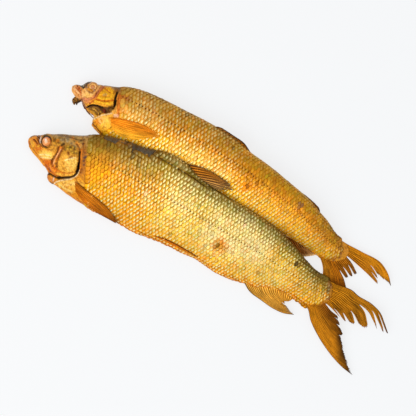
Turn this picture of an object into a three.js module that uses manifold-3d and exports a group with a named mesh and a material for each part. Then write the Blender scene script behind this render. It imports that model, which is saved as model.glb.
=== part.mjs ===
// A pair of cold smoked whitefish, lying side by side on their right flanks.
//
// Millimetres, +Z up. Both fish point the same way: +X runs from the snouts to the tails, +Y from the
// bellies to the backs. The larger fish is in front, at low Y, and its back rests against the belly
// side of the smaller fish behind it. The origin is the centre of the pair's footprint, on the surface
// that they lie on. Each fish grew as one piece, so each is one closed solid, with its fins.
import * as THREE from "three";
import { mergeVertices } from "three/addons/utils/BufferGeometryUtils.js";
import Module from "manifold-3d";

const wasm = await Module();
wasm.setup();

// Driving dimensions.
const BODY_RINGS = 44; // cross-sections from snout to tail root
const BODY_SIDES = 24; // facets round a cross-section
const FULLER_BACK = 0.35; // how much thicker the back is than the belly
const FIN_THICKNESS = 1.6;
const FIN_CURVE_STEPS = 3; // facets between two points of a fin's outline
const CLEARANCE = 0.6; // kept between the two fish where one lies over the other

// The larger fish. A station is a cross-section: how far it is from the snout, where its back and belly
// edges are in Y, the height of its middle, half its thickness, and how far its back edge is raised
// above the middle, which is also how far its belly edge droops.
const FRONT_STATIONS = [
  { along: 0, back: 2, belly: 1, middle: 12, half: 0.5, tilt: 0 },
  { along: 5, back: 8, belly: -4, middle: 12.5, half: 6, tilt: 0.5 },
  { along: 14, back: 14.5, belly: -9, middle: 13, half: 9.5, tilt: 1 },
  { along: 25, back: 22, belly: -13, middle: 14, half: 11.5, tilt: 2 },
  { along: 35, back: 26, belly: -20, middle: 14.5, half: 13, tilt: 3 },
  { along: 50, back: 34, belly: -26, middle: 15.5, half: 15, tilt: 5 },
  { along: 70, back: 44, belly: -28, middle: 16.5, half: 17.5, tilt: 7 },
  { along: 90, back: 49.5, belly: -28.5, middle: 17, half: 18.5, tilt: 8 },
  { along: 120, back: 57, belly: -26.5, middle: 17, half: 19, tilt: 9 },
  { along: 145, back: 60, belly: -25, middle: 17, half: 19, tilt: 9 },
  { along: 170, back: 54, belly: -21, middle: 16.5, half: 18.5, tilt: 8.5 },
  { along: 200, back: 50.5, belly: -19, middle: 15.5, half: 17.5, tilt: 8 },
  { along: 230, back: 50, belly: -20, middle: 14.5, half: 16, tilt: 7 },
  { along: 258, back: 47.2, belly: -15.5, middle: 13.5, half: 14, tilt: 6 },
  { along: 280, back: 42, belly: -8, middle: 12.5, half: 11.5, tilt: 5 },
  { along: 300, back: 35, belly: -3.5, middle: 11.5, half: 9, tilt: 4 },
  { along: 320, back: 29.5, belly: -3.8, middle: 10.5, half: 6.5, tilt: 3 },
  { along: 338, back: 27, belly: 0, middle: 9.5, half: 2.2, tilt: 2 },
];

// The smaller fish, with its belly edge tucked under the larger one's back.
const BACK_STATIONS = [
  { along: 11.5, back: 69, belly: 66, middle: 11, half: 0.5, tilt: 0 },
  { along: 15, back: 72.5, belly: 61, middle: 11, half: 5, tilt: 0 },
  { along: 22, back: 77, belly: 57, middle: 11.5, half: 8, tilt: 0.5 },
  { along: 30, back: 83, belly: 55, middle: 12, half: 10.5, tilt: 1 },
  { along: 40, back: 86, belly: 51, middle: 13, half: 12, tilt: 2 },
  { along: 50, back: 90, belly: 44, middle: 14, half: 13.5, tilt: 3 },
  { along: 62, back: 96, belly: 41, middle: 14.5, half: 15, tilt: 4 },
  { along: 80, back: 100.5, belly: 41.5, middle: 15, half: 16.5, tilt: 5 },
  { along: 100, back: 102.5, belly: 44, middle: 15.5, half: 17.5, tilt: 6 },
  { along: 150, back: 105, belly: 50, middle: 16, half: 18, tilt: 6.5 },
  { along: 200, back: 100, belly: 46, middle: 15, half: 17, tilt: 6 },
  { along: 240, back: 95, belly: 45.5, middle: 13.5, half: 15, tilt: 5 },
  { along: 275, back: 88, belly: 47, middle: 11.5, half: 12.5, tilt: 4 },
  { along: 300, back: 79, belly: 46, middle: 9.5, half: 9.5, tilt: 3 },
  { along: 320, back: 70.5, belly: 45.5, middle: 7.5, half: 6, tilt: 2 },
  { along: 334, back: 69, belly: 47, middle: 6, half: 2, tilt: 1 },
];

// Fins. Each is a flat plate: its outline in X and Y, and the plane that it lies in, given as a height
// at one point with how fast it climbs along X and along Y.
const FRONT_FINS = [
  {
    name: "tail",
    outline: [
      [322, 27], [345, 30.5], [370, 30.5], [388, 27], [402, 18], [409, 12.5], [392, 9], [374, 3.5],
      [357, 1], [370, -11], [380, -25], [393, -37], [399, -41.5], [380, -38.5], [350, -25], [322, -3],
    ],
    plane: { at: [330, 13], height: 9.5, climbX: -0.06, climbY: 0.02 },
  },
  {
    name: "dorsal fin",
    outline: [[146, 55], [156, 61.5], [180, 63.5], [202, 60], [190, 52.5], [165, 50]],
    plane: { at: [165, 55], height: 27.4, climbX: -0.01, climbY: 0.15 },
  },
  {
    name: "anal fin",
    outline: [[252, -12], [262, -19.5], [280, -22], [305, -23], [318, -18.5], [306, -10], [309, -1], [280, -4]],
    plane: { at: [280, -10], height: 8, climbX: 0, climbY: 0.1 },
  },
  {
    name: "pelvic fin",
    outline: [[148, -18], [160, -22.5], [185, -20.5], [206, -18], [190, -14]],
    plane: { at: [170, -20], height: 8, climbX: 0, climbY: 0.3 },
  },
  {
    name: "pectoral fin",
    outline: [[60, -12], [80, -15], [110, -22], [119, -26.5], [95, -28.5], [72, -24]],
    plane: { at: [80, -20], height: 17.5, climbX: -0.03, climbY: 0.75 },
  },
];

const BACK_FINS = [
  {
    name: "tail",
    outline: [
      [320, 69], [350, 70], [370, 70], [380, 64], [388, 55], [373, 53], [355, 56], [349, 44],
      [346, 36], [349, 32], [337, 31.5], [325, 31.5], [318, 42], [318, 50],
    ],
    plane: { at: [330, 58], height: 5, climbX: -0.02, climbY: 0.015 },
  },
  {
    name: "adipose fin",
    outline: [[258, 86], [264, 91], [280, 88.8], [289.5, 83], [276, 82]],
    plane: { at: [270, 86], height: 14, climbX: -0.05, climbY: 0.05 },
  },
  {
    name: "dorsal fin",
    outline: [[148, 101], [156, 106.5], [168, 107.3], [190, 105], [199, 100.5], [170, 98]],
    plane: { at: [170, 102], height: 21, climbX: -0.02, climbY: 0.05 },
  },
  {
    name: "anal fin",
    outline: [[268, 50], [284, 42], [298, 37.5], [308, 45], [306, 52]],
    plane: { at: [290, 46], height: 4.5, climbX: 0, climbY: 0.03 },
  },
  {
    name: "pectoral fin",
    outline: [[58, 60], [70, 65], [90, 70.5], [113, 68.5], [95, 57], [70, 51]],
    plane: { at: [80, 61], height: 27, climbX: 0.05, climbY: 0.42 },
  },
];

/** Makes a function that gives one value of the stations, such as "back", smoothly at any place along. */
function smoothAlong(stations, value) {
  const places = stations.map((station) => station.along);
  const values = stations.map((station) => station[value]);
  const curve = new THREE.CubicInterpolant(places, values, 1);
  return (along) => curve.evaluate(along)[0];
}

/** The body: a sphere whose axis becomes the fish's length, reshaped through the stations. */
function bodyGeometry(stations) {
  const start = stations[0].along;
  const length = stations.at(-1).along - start;
  const back = smoothAlong(stations, "back");
  const belly = smoothAlong(stations, "belly");
  const middle = smoothAlong(stations, "middle");
  const half = smoothAlong(stations, "half");
  const tilt = smoothAlong(stations, "tilt");

  const geometry = new THREE.SphereGeometry(1, BODY_SIDES, BODY_RINGS);
  const position = geometry.getAttribute("position");
  const point = new THREE.Vector3();
  for (let i = 0; i < position.count; i++) {
    point.fromBufferAttribute(position, i);
    const radius = Math.hypot(point.x, point.z);
    const towardsBack = radius > 1e-6 ? point.x / radius : 0; // 1 at the back edge, -1 at the belly edge
    const upward = radius > 1e-6 ? point.z / radius : 0;
    const along = start + (length * (1 - point.y)) / 2;
    const centre = (back(along) + belly(along)) / 2;
    const reach = (back(along) - belly(along)) / 2;
    const bulge = half(along) * upward * (1 + FULLER_BACK * towardsBack);
    const height = middle(along) + tilt(along) * towardsBack + bulge;
    position.setXYZ(i, along, centre + reach * towardsBack, Math.max(height, 0)); // flat where it rests
  }
  return geometry;
}

/** A fin: a plate with a smooth outline, sheared into its plane. */
function finGeometry({ outline, plane }) {
  const points = outline.map(([x, y]) => new THREE.Vector2(x, y));
  const edge = new THREE.CatmullRomCurve3(points.map((p) => new THREE.Vector3(p.x, p.y, 0)), true, "centripetal");
  const smooth = edge.getPoints(points.length * FIN_CURVE_STEPS).slice(0, -1);
  const shape = new THREE.Shape(smooth.map((p) => new THREE.Vector2(p.x, p.y)));
  const geometry = new THREE.ExtrudeGeometry(shape, { depth: FIN_THICKNESS, bevelEnabled: false });
  const position = geometry.getAttribute("position");
  for (let i = 0; i < position.count; i++) {
    const climb =
      plane.climbX * (position.getX(i) - plane.at[0]) + plane.climbY * (position.getY(i) - plane.at[1]);
    position.setZ(i, position.getZ(i) - FIN_THICKNESS / 2 + plane.height + climb);
  }
  return geometry;
}

/** Turns a closed geometry into a solid that can be joined and cut. */
function toSolid(geometry) {
  geometry.deleteAttribute("normal");
  geometry.deleteAttribute("uv");
  const merged = mergeVertices(geometry);
  const vertProperties = new Float32Array(merged.getAttribute("position").array);
  const triVerts = new Uint32Array(merged.getIndex().array);
  return new wasm.Manifold(new wasm.Mesh({ numProp: 3, vertProperties, triVerts }));
}

/** Turns a solid back into a geometry. */
function toGeometry(solid) {
  const { vertProperties, triVerts } = solid.getMesh();
  const geometry = new THREE.BufferGeometry();
  geometry.setAttribute("position", new THREE.BufferAttribute(vertProperties, 3));
  geometry.setIndex(new THREE.BufferAttribute(triVerts, 1));
  geometry.computeVertexNormals();
  return geometry;
}

/** One whole fish as a solid: its body with every fin joined on. */
function fishSolid(stations, fins) {
  return fins.reduce((solid, fin) => solid.add(toSolid(finGeometry(fin))), toSolid(bodyGeometry(stations)));
}

/** A copy of the stations for a body that is larger all round by a margin. */
function swollen(stations, margin) {
  return stations.map((station) => ({
    ...station,
    back: station.back + margin,
    belly: station.belly - margin,
    half: station.half + margin,
  }));
}

const skin = (colour) => new THREE.MeshStandardMaterial({ color: colour, roughness: 0.45, metalness: 0.25 });

const front = new THREE.Mesh(toGeometry(fishSolid(FRONT_STATIONS, FRONT_FINS)), skin(0xb08338));
front.name = "front_fish";

// The smaller fish gives way where the larger one's back presses on it.
const pressedBy = toSolid(bodyGeometry(swollen(FRONT_STATIONS, CLEARANCE)));
const behind = new THREE.Mesh(toGeometry(fishSolid(BACK_STATIONS, BACK_FINS).subtract(pressedBy)), skin(0xb8843a));
behind.name = "back_fish";

const pair = new THREE.Group();
pair.add(front, behind);
const middleOfPair = new THREE.Box3().setFromObject(pair).getCenter(new THREE.Vector3());
pair.position.set(-middleOfPair.x, -middleOfPair.y, 0);

export default pair;
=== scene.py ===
"""A pair of cold smoked whitefish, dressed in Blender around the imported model.

Places inside the two fish are in millimetres in the pair's own layout: along runs from the front fish's
snout towards the tails, across runs from the bellies to the backs, and up is away from the table.
"""

from __future__ import annotations

import logging
import math
from dataclasses import dataclass, field
from enum import Enum

import bmesh
import bpy
import numpy as np
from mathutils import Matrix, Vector

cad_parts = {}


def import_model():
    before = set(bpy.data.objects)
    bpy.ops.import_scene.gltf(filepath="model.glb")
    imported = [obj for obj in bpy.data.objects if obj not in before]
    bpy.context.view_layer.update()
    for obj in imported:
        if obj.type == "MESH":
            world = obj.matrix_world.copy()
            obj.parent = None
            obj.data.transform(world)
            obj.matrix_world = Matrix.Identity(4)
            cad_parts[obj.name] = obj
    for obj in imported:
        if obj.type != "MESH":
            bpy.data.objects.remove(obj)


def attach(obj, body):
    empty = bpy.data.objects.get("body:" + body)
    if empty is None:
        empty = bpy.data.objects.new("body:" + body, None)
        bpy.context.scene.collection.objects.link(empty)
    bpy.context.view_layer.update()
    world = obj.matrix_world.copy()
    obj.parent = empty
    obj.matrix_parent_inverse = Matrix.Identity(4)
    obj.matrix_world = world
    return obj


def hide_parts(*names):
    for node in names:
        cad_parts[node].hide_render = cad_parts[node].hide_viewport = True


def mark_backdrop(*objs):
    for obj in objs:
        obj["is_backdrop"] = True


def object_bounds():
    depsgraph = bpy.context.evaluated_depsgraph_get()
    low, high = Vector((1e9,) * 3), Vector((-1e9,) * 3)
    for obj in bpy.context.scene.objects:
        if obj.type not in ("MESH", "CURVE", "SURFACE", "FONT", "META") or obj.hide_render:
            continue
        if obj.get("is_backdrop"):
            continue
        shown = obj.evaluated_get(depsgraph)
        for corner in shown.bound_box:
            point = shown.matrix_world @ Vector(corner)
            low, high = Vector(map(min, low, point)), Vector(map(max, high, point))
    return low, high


LOG = logging.getLogger("whitefish")

MM = 0.001
BODY = "root"
THIN_LOWEST = 0.15  # mm that fins and strips stay above the table
NEAR = 1e-4

Point = tuple[float, float]
Point3 = tuple[float, float, float]
Colour = tuple[float, float, float]

NO_COLOUR: Colour = (0, 0, 0)  # for marks that only say where something is

# ---------------------------------------------------------------------------------------------------------
# Sums on many points at once
# ---------------------------------------------------------------------------------------------------------


def smooth_step(values: np.ndarray, low: float, high: float) -> np.ndarray:
    """Climb smoothly from 0 at low to 1 at high.

    Args:
        values: The numbers to look up.
        low: Where the climb starts.
        high: Where it ends.

    Returns:
        A number from 0 to 1 for each value.
    """
    t = np.clip((values - low) / (high - low), 0.0, 1.0)
    return t * t * (3.0 - 2.0 * t)


def smooth_through(places: np.ndarray, values: np.ndarray, at: np.ndarray) -> np.ndarray:
    """Read a smooth curve that passes through every given value.

    Args:
        places: Rising places where the curve is known.
        values: The value, or row of values, at each place.
        at: Where to read it.

    Returns:
        The curve's value, or row of values, at each of them.
    """
    slopes = np.gradient(values, places, axis=0)
    at = np.clip(at, places[0], places[-1])
    left = np.clip(np.searchsorted(places, at, side="right") - 1, 0, len(places) - 2)
    span = places[left + 1] - places[left]
    t = (at - places[left]) / span
    if values.ndim > 1:
        t, span = t[:, None], span[:, None]
    rest = 1.0 - t
    return (
        (1 + 2 * t) * rest**2 * values[left]
        + t * rest**2 * span * slopes[left]
        + t**2 * (3 - 2 * t) * values[left + 1]
        - t**2 * rest * span * slopes[left + 1]
    )


def smooth_line(points: tuple, at: np.ndarray) -> np.ndarray:
    """Read a smooth line through given points by the share of its length.

    Args:
        points: The points that it passes through.
        at: Shares of the length, from 0 to 1.

    Returns:
        One point for each share.
    """
    knots = np.array(points, float)
    steps = np.linalg.norm(np.diff(knots, axis=0), axis=1)
    places = np.concatenate([[0.0], np.cumsum(steps)]) / steps.sum()
    return smooth_through(places, knots, at)


def grain(x: np.ndarray, y: np.ndarray, size: float, seed: int) -> np.ndarray:
    """Give smooth random patches.

    Args:
        x: Places along.
        y: Places across.
        size: How wide a patch is.
        seed: Which pattern it is.

    Returns:
        A number from -1 to 1 at each place.
    """
    cells = 97
    table = np.random.default_rng(seed).uniform(-1.0, 1.0, (cells, cells))
    gx, gy = x / size, y / size
    ix, iy = np.floor(gx).astype(int), np.floor(gy).astype(int)
    fx, fy = smooth_step(gx - ix, 0.0, 1.0), smooth_step(gy - iy, 0.0, 1.0)
    near = table[ix % cells, iy % cells] * (1 - fx) + table[(ix + 1) % cells, iy % cells] * fx
    far = table[ix % cells, (iy + 1) % cells] * (1 - fx) + table[(ix + 1) % cells, (iy + 1) % cells] * fx
    return near * (1 - fy) + far * fy


def distance_to(points: tuple[Point, ...], places: np.ndarray) -> np.ndarray:
    """Measure how far places are from a line of straight stretches.

    Args:
        points: The line's corners.
        places: Rows of along and across.

    Returns:
        The distance of each place.
    """
    corners = np.array(points, float)
    nearest = np.full(len(places), np.inf)
    if len(corners) == 1:
        return np.linalg.norm(places - corners[0], axis=1)
    for start, end in zip(corners[:-1], corners[1:], strict=True):
        edge = end - start
        share = np.clip((places - start) @ edge / (edge @ edge), 0.0, 1.0)
        gap = np.linalg.norm(places - start - share[:, None] * edge, axis=1)
        nearest = np.minimum(nearest, gap)
    return nearest


def is_inside(points: tuple[Point, ...], places: np.ndarray) -> np.ndarray:
    """Tell which places a closed outline holds.

    Args:
        points: The outline's corners.
        places: Rows of along and across.

    Returns:
        True for each place inside.
    """
    inside = np.zeros(len(places), bool)
    x, y = places[:, 0], places[:, 1]
    for (x0, y0), (x1, y1) in zip(points, points[1:] + points[:1], strict=True):
        if y0 == y1:
            continue
        crosses = (y0 > y) != (y1 > y)
        inside ^= crosses & (x < (x1 - x0) * (y - y0) / (y1 - y0) + x0)
    return inside


def linear(colour: Colour) -> np.ndarray:
    """Turn an 8-bit screen colour into linear light."""
    share = np.array(colour, float) / 255.0
    return np.where(share <= 0.04045, share / 12.92, ((share + 0.055) / 1.055) ** 2.4)


# ---------------------------------------------------------------------------------------------------------
# Paint and relief
# ---------------------------------------------------------------------------------------------------------


class Form(Enum):
    """What a mark covers."""

    LINE = "line"
    AREA = "area"


@dataclass(frozen=True)
class Mark:
    """A stroke or a patch that colours and raises the skin.

    A line covers what is within half_width of it, and an area what its outline holds. Both fade over soft.
    """

    points: tuple[Point, ...]
    colour: Colour
    strength: float
    form: Form = Form.LINE
    half_width: float = 0.0
    soft: float = 1.0
    lift: float = 0.0
    mottle: float = 0.0

    def cover(self, places: np.ndarray) -> np.ndarray:
        """Say how much of the mark each place has, from 0 to 1."""
        low = np.array(self.points, float).min(0) - self.half_width - self.soft
        high = np.array(self.points, float).max(0) + self.half_width + self.soft
        near = ((places >= low) & (places <= high)).all(1)
        result = np.zeros(len(places))
        if not near.any():
            return result
        there = places[near]
        if self.form is Form.AREA:
            loop = self.points + self.points[:1]
            gap = distance_to(loop, there)
            gap = np.where(is_inside(self.points, there), -gap, gap)
            share = 1.0 - smooth_step(gap, -self.soft, self.soft)
        else:
            gap = distance_to(self.points, there) - self.half_width
            share = 1.0 - smooth_step(gap, 0.0, self.soft)
        if self.mottle:
            patches = grain(there[:, 0] + 31.0, there[:, 1] + 17.0, 2.6, 5)
            share = share * np.clip(1.0 - self.mottle * (0.5 + patches), 0.0, 1.0)
        result[near] = share
        return result


def line(
    colour: Colour, strength: float, half_width: float, *points: Point, soft: float = 0.9, **more: float
) -> Mark:
    """Make a stroke along the points."""
    return Mark(points, colour, strength, half_width=half_width, soft=soft, **more)


def area(colour: Colour, strength: float, soft: float, *points: Point, **more: float) -> Mark:
    """Make a patch inside the points."""
    return Mark(points, colour, strength, form=Form.AREA, soft=soft, **more)


def spot(colour: Colour, strength: float, radius: float, *centres: Point, **more: float) -> list[Mark]:
    """Make a round spot at each centre."""
    return [Mark((at,), colour, strength, half_width=radius * 0.5, soft=radius, **more) for at in centres]


@dataclass(frozen=True)
class Tones:
    """The skin's colours from belly edge to back edge, before any mark."""

    stops: tuple[tuple[float, Colour], ...]

    def at(self, share: np.ndarray) -> np.ndarray:
        """Read the colour at shares from -1, the belly edge, to 1, the back edge."""
        places = np.array([stop for stop, _ in self.stops])
        colours = np.array([linear(colour) for _, colour in self.stops])
        return np.stack([np.interp(share, places, colours[:, i]) for i in range(3)], axis=1)


# ---------------------------------------------------------------------------------------------------------
# Finishes
# ---------------------------------------------------------------------------------------------------------

PAINT = "Paint"
SCALE_PLACE = "Scale place"


@dataclass(frozen=True)
class PaintedFinish:
    """A glossy smoked surface that shows its painted colours, broken up by fine grain."""

    name: str
    metal: float = 0.0
    rough_low: float = 0.3
    rough_high: float = 0.5
    coat: float = 0.1
    specular: float = 0.35
    gloss_tint: Colour = (255, 226, 150)
    grain_scale: float = 900.0
    grain_contrast: float = 0.25
    bump: float = 0.2
    bump_depth: float = 0.0004

    def build(self) -> bpy.types.Material:
        """Make the material.

        Returns:
            A material that reads the Paint attribute and Object coordinates.
        """
        material = bpy.data.materials.new(self.name)
        material.use_nodes = True
        nodes, links = material.node_tree.nodes, material.node_tree.links
        shader = nodes["Principled BSDF"]
        shader.inputs["Metallic"].default_value = self.metal
        shader.inputs["Coat Weight"].default_value = self.coat
        shader.inputs["Coat Roughness"].default_value = 0.2
        shader.inputs["Specular IOR Level"].default_value = self.specular
        shader.inputs["Specular Tint"].default_value = (*linear(self.gloss_tint), 1.0)
        place = nodes.new("ShaderNodeTexCoord")
        noise = nodes.new("ShaderNodeTexNoise")
        noise.inputs["Scale"].default_value = self.grain_scale
        noise.inputs["Detail"].default_value = 5.0
        links.new(place.outputs["Object"], noise.inputs["Vector"])
        shade = nodes.new("ShaderNodeMapRange")
        shade.inputs["To Min"].default_value = 1.0 - self.grain_contrast
        shade.inputs["To Max"].default_value = 1.0 + self.grain_contrast
        shade.inputs["From Min"].default_value = 0.3
        shade.inputs["From Max"].default_value = 0.7
        links.new(noise.outputs["Fac"], shade.inputs["Value"])
        tint = nodes.new("ShaderNodeVectorMath")
        tint.operation = "SCALE"
        links.new(self.colour(material.node_tree), tint.inputs[0])
        links.new(shade.outputs["Result"], tint.inputs["Scale"])
        links.new(tint.outputs["Vector"], shader.inputs["Base Color"])
        rough = nodes.new("ShaderNodeMapRange")
        rough.inputs["To Min"].default_value = self.rough_low
        rough.inputs["To Max"].default_value = self.rough_high
        links.new(noise.outputs["Fac"], rough.inputs["Value"])
        links.new(rough.outputs["Result"], shader.inputs["Roughness"])
        bump = nodes.new("ShaderNodeBump")
        bump.inputs["Strength"].default_value = self.bump
        bump.inputs["Distance"].default_value = self.bump_depth
        links.new(noise.outputs["Fac"], bump.inputs["Height"])
        links.new(bump.outputs["Normal"], shader.inputs["Normal"])
        return material

    def colour(self, tree: bpy.types.NodeTree) -> bpy.types.NodeSocket:
        """Add the nodes that give the colour before its grain.

        Args:
            tree: The material's nodes.

        Returns:
            The colour's socket.
        """
        paint = tree.nodes.new("ShaderNodeAttribute")
        paint.attribute_name = PAINT
        return paint.outputs["Color"]


@dataclass(frozen=True)
class Oval:
    """A soft oval on a scale, in shares of its half length and half width."""

    at: float
    half_length: float
    half_width: float
    full_to: float = 0.55
    none_from: float = 1.3

    def cover(self, tree: bpy.types.NodeTree, place: bpy.types.NodeSocket) -> bpy.types.NodeSocket:
        """Add the nodes that give 1 inside the oval and 0 outside.

        Args:
            tree: The material's nodes.
            place: The place on the scale.

        Returns:
            The oval's socket.
        """
        flat = tree.nodes.new("ShaderNodeVectorMath")
        flat.operation = "MULTIPLY_ADD"
        flat.inputs[1].default_value = (1 / self.half_length, 1 / self.half_width, 0.0)
        flat.inputs[2].default_value = (-self.at / self.half_length, 0.0, 0.0)
        reach = tree.nodes.new("ShaderNodeVectorMath")
        reach.operation = "LENGTH"
        share = tree.nodes.new("ShaderNodeMapRange")
        share.interpolation_type = "SMOOTHSTEP"
        share.inputs["From Min"].default_value = self.full_to
        share.inputs["From Max"].default_value = self.none_from
        share.inputs["To Min"].default_value = 1.0
        share.inputs["To Max"].default_value = 0.0
        tree.links.new(place, flat.inputs[0])
        tree.links.new(flat.outputs["Vector"], reach.inputs[0])
        tree.links.new(reach.outputs["Value"], share.inputs["Value"])
        return share.outputs["Result"]


@dataclass(frozen=True)
class ScaleFinish(PaintedFinish):
    """A scale's finish: a painted highlight across it, a rim darkened partly in its own colour and partly as
    painted shade, and, on the lateral line, a pore.
    """

    painted_highlight: Oval = Oval(0.5, 0.26, 0.52, 0.3, 1.25)
    painted_highlight_colour: Colour = (255, 243, 170)
    pore: Oval = Oval(0.04, 0.2, 0.28, 0.4, 1.3)
    pore_colour: Colour = (112, 62, 12)
    # The rim's tint: partly the scales' own darker edges and partly painted shade where they overlap.
    rim_tint_and_shade: Point3 = (0.74, 0.6, 0.24)

    def colour(self, tree: bpy.types.NodeTree) -> bpy.types.NodeSocket:
        """Add the nodes that paint the highlight, the darker rim and the pore over the scale's own colour.

        Args:
            tree: The material's nodes.

        Returns:
            The colour's socket.
        """
        place = tree.nodes.new("ShaderNodeAttribute")
        place.attribute_name = SCALE_PLACE
        parts = tree.nodes.new("ShaderNodeSeparateXYZ")
        tree.links.new(place.outputs["Vector"], parts.inputs[0])
        strength = self.sum_node(tree, "ABSOLUTE", parts.outputs["Z"])
        has_pore = self.sum_node(tree, "LESS_THAN", parts.outputs["Z"], 0.0)
        # Darken the rim, partly as painted shade where the scales overlap.
        rim = Oval(0.0, 0.78, 0.78).cover(tree, place.outputs["Vector"])
        shade = tree.nodes.new("ShaderNodeMix")
        shade.data_type = "RGBA"
        shade.inputs[6].default_value = (*self.rim_tint_and_shade, 1.0)
        shade.inputs[7].default_value = (1.0, 1.0, 1.0, 1.0)
        tree.links.new(rim, shade.inputs[0])
        shaded = tree.nodes.new("ShaderNodeVectorMath")
        shaded.operation = "MULTIPLY"
        tree.links.new(super().colour(tree), shaded.inputs[0])
        tree.links.new(shade.outputs[2], shaded.inputs[1])
        painted_highlight = self.sum_node(tree, "MULTIPLY", self.painted_highlight.cover(tree, place.outputs["Vector"]), strength)
        lit = self.over(tree, shaded.outputs["Vector"], self.painted_highlight_colour, painted_highlight)
        pore = self.sum_node(tree, "MULTIPLY", self.pore.cover(tree, place.outputs["Vector"]), has_pore)
        return self.over(tree, lit, self.pore_colour, pore)

    def sum_node(
        self, tree: bpy.types.NodeTree, operation: str, first: bpy.types.NodeSocket, second: object = None
    ) -> bpy.types.NodeSocket:
        """Add a node that works out a sum of one or two values."""
        node = tree.nodes.new("ShaderNodeMath")
        node.operation = operation
        tree.links.new(first, node.inputs[0])
        if isinstance(second, float):
            node.inputs[1].default_value = second
        elif second is not None:
            tree.links.new(second, node.inputs[1])
        return node.outputs["Value"]

    def over(
        self,
        tree: bpy.types.NodeTree,
        under: bpy.types.NodeSocket,
        colour: Colour,
        share: bpy.types.NodeSocket,
    ) -> bpy.types.NodeSocket:
        """Add a node that lays a colour over another by a share."""
        mix = tree.nodes.new("ShaderNodeMix")
        mix.data_type = "RGBA"
        factor, first, second = mix.inputs[0], mix.inputs[6], mix.inputs[7]
        second.default_value = (*linear(colour), 1.0)
        tree.links.new(under, first)
        tree.links.new(share, factor)
        return mix.outputs[2]


SKIN = PaintedFinish(
    "smoked_skin", metal=0.12, rough_low=0.26, rough_high=0.5, coat=0.05, specular=0.3, grain_scale=620.0,
    grain_contrast=0.28, bump=0.5
)
SCALE = ScaleFinish(
    "smoked_scale", metal=0.3, rough_low=0.24, rough_high=0.42, coat=0.0, specular=0.18, grain_scale=1500.0,
    grain_contrast=0.12
)
FIN = PaintedFinish(
    "smoked_fin", rough_low=0.35, rough_high=0.55, coat=0.0, specular=0.1, grain_scale=1200.0, bump=0.15
)
EYE = PaintedFinish("cooked_eye", rough_low=0.1, rough_high=0.2, coat=0.6, grain_contrast=0.1, bump=0.05)
FLESH = PaintedFinish("dried_flesh", rough_low=0.4, rough_high=0.6, coat=0.1, grain_scale=500.0, bump=0.5)


# ---------------------------------------------------------------------------------------------------------
# From sums to pieces
# ---------------------------------------------------------------------------------------------------------


@dataclass(frozen=True)
class Bench:
    """Turns shapes in the layout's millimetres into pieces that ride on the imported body."""

    origin: Vector

    def piece(
        self,
        name: str,
        form: bmesh.types.BMesh,
        places: np.ndarray,
        paint: np.ndarray,
        finish: bpy.types.Material,
        scale_places: np.ndarray | None = None,
    ) -> bpy.types.Object:
        """Make one piece.

        Args:
            name: The piece's name.
            form: Its mesh, whose vertices are moved to the places.
            places: Rows of along, across and up, in millimetres.
            paint: Rows of linear colour, one for each vertex.
            finish: Its material.
            scale_places: Rows of each vertex's place on its scale, for scales.

        Returns:
            The finished object, riding on the body.
        """
        mesh = bpy.data.meshes.new(name)
        form.to_mesh(mesh)
        form.free()
        metres = places * MM + np.array(self.origin)
        mesh.vertices.foreach_set("co", metres.astype(np.float32).ravel())
        colours = mesh.attributes.new(PAINT, "FLOAT_COLOR", "POINT")
        rgba = np.ones((len(places), 4), np.float32)
        rgba[:, :3] = paint
        colours.data.foreach_set("color", rgba.ravel())
        if scale_places is not None:
            spots = mesh.attributes.new(SCALE_PLACE, "FLOAT_VECTOR", "POINT")
            spots.data.foreach_set("vector", scale_places.astype(np.float32).ravel())
        mesh.materials.append(finish)
        mesh.update()
        turn_outwards(mesh)
        mesh.shade_smooth()
        made = bpy.data.objects.new(name, mesh)
        bpy.context.collection.objects.link(made)
        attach(made, BODY)
        LOG.info("%s: %d faces", name, len(mesh.polygons))
        return made


def turn_outwards(mesh: bpy.types.Mesh) -> None:
    """Point every face of a closed mesh outwards."""
    form = bmesh.new()
    form.from_mesh(mesh)
    bmesh.ops.recalc_face_normals(form, faces=form.faces)
    if form.calc_volume(signed=True) < 0:
        bmesh.ops.reverse_faces(form, faces=form.faces)
    form.to_mesh(mesh)
    form.free()


def vertex_places(form: bmesh.types.BMesh) -> np.ndarray:
    """Read the vertices' places in order."""
    return np.array([vertex.co for vertex in form.verts], float)


# ---------------------------------------------------------------------------------------------------------
# The body's shape
# ---------------------------------------------------------------------------------------------------------


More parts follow.
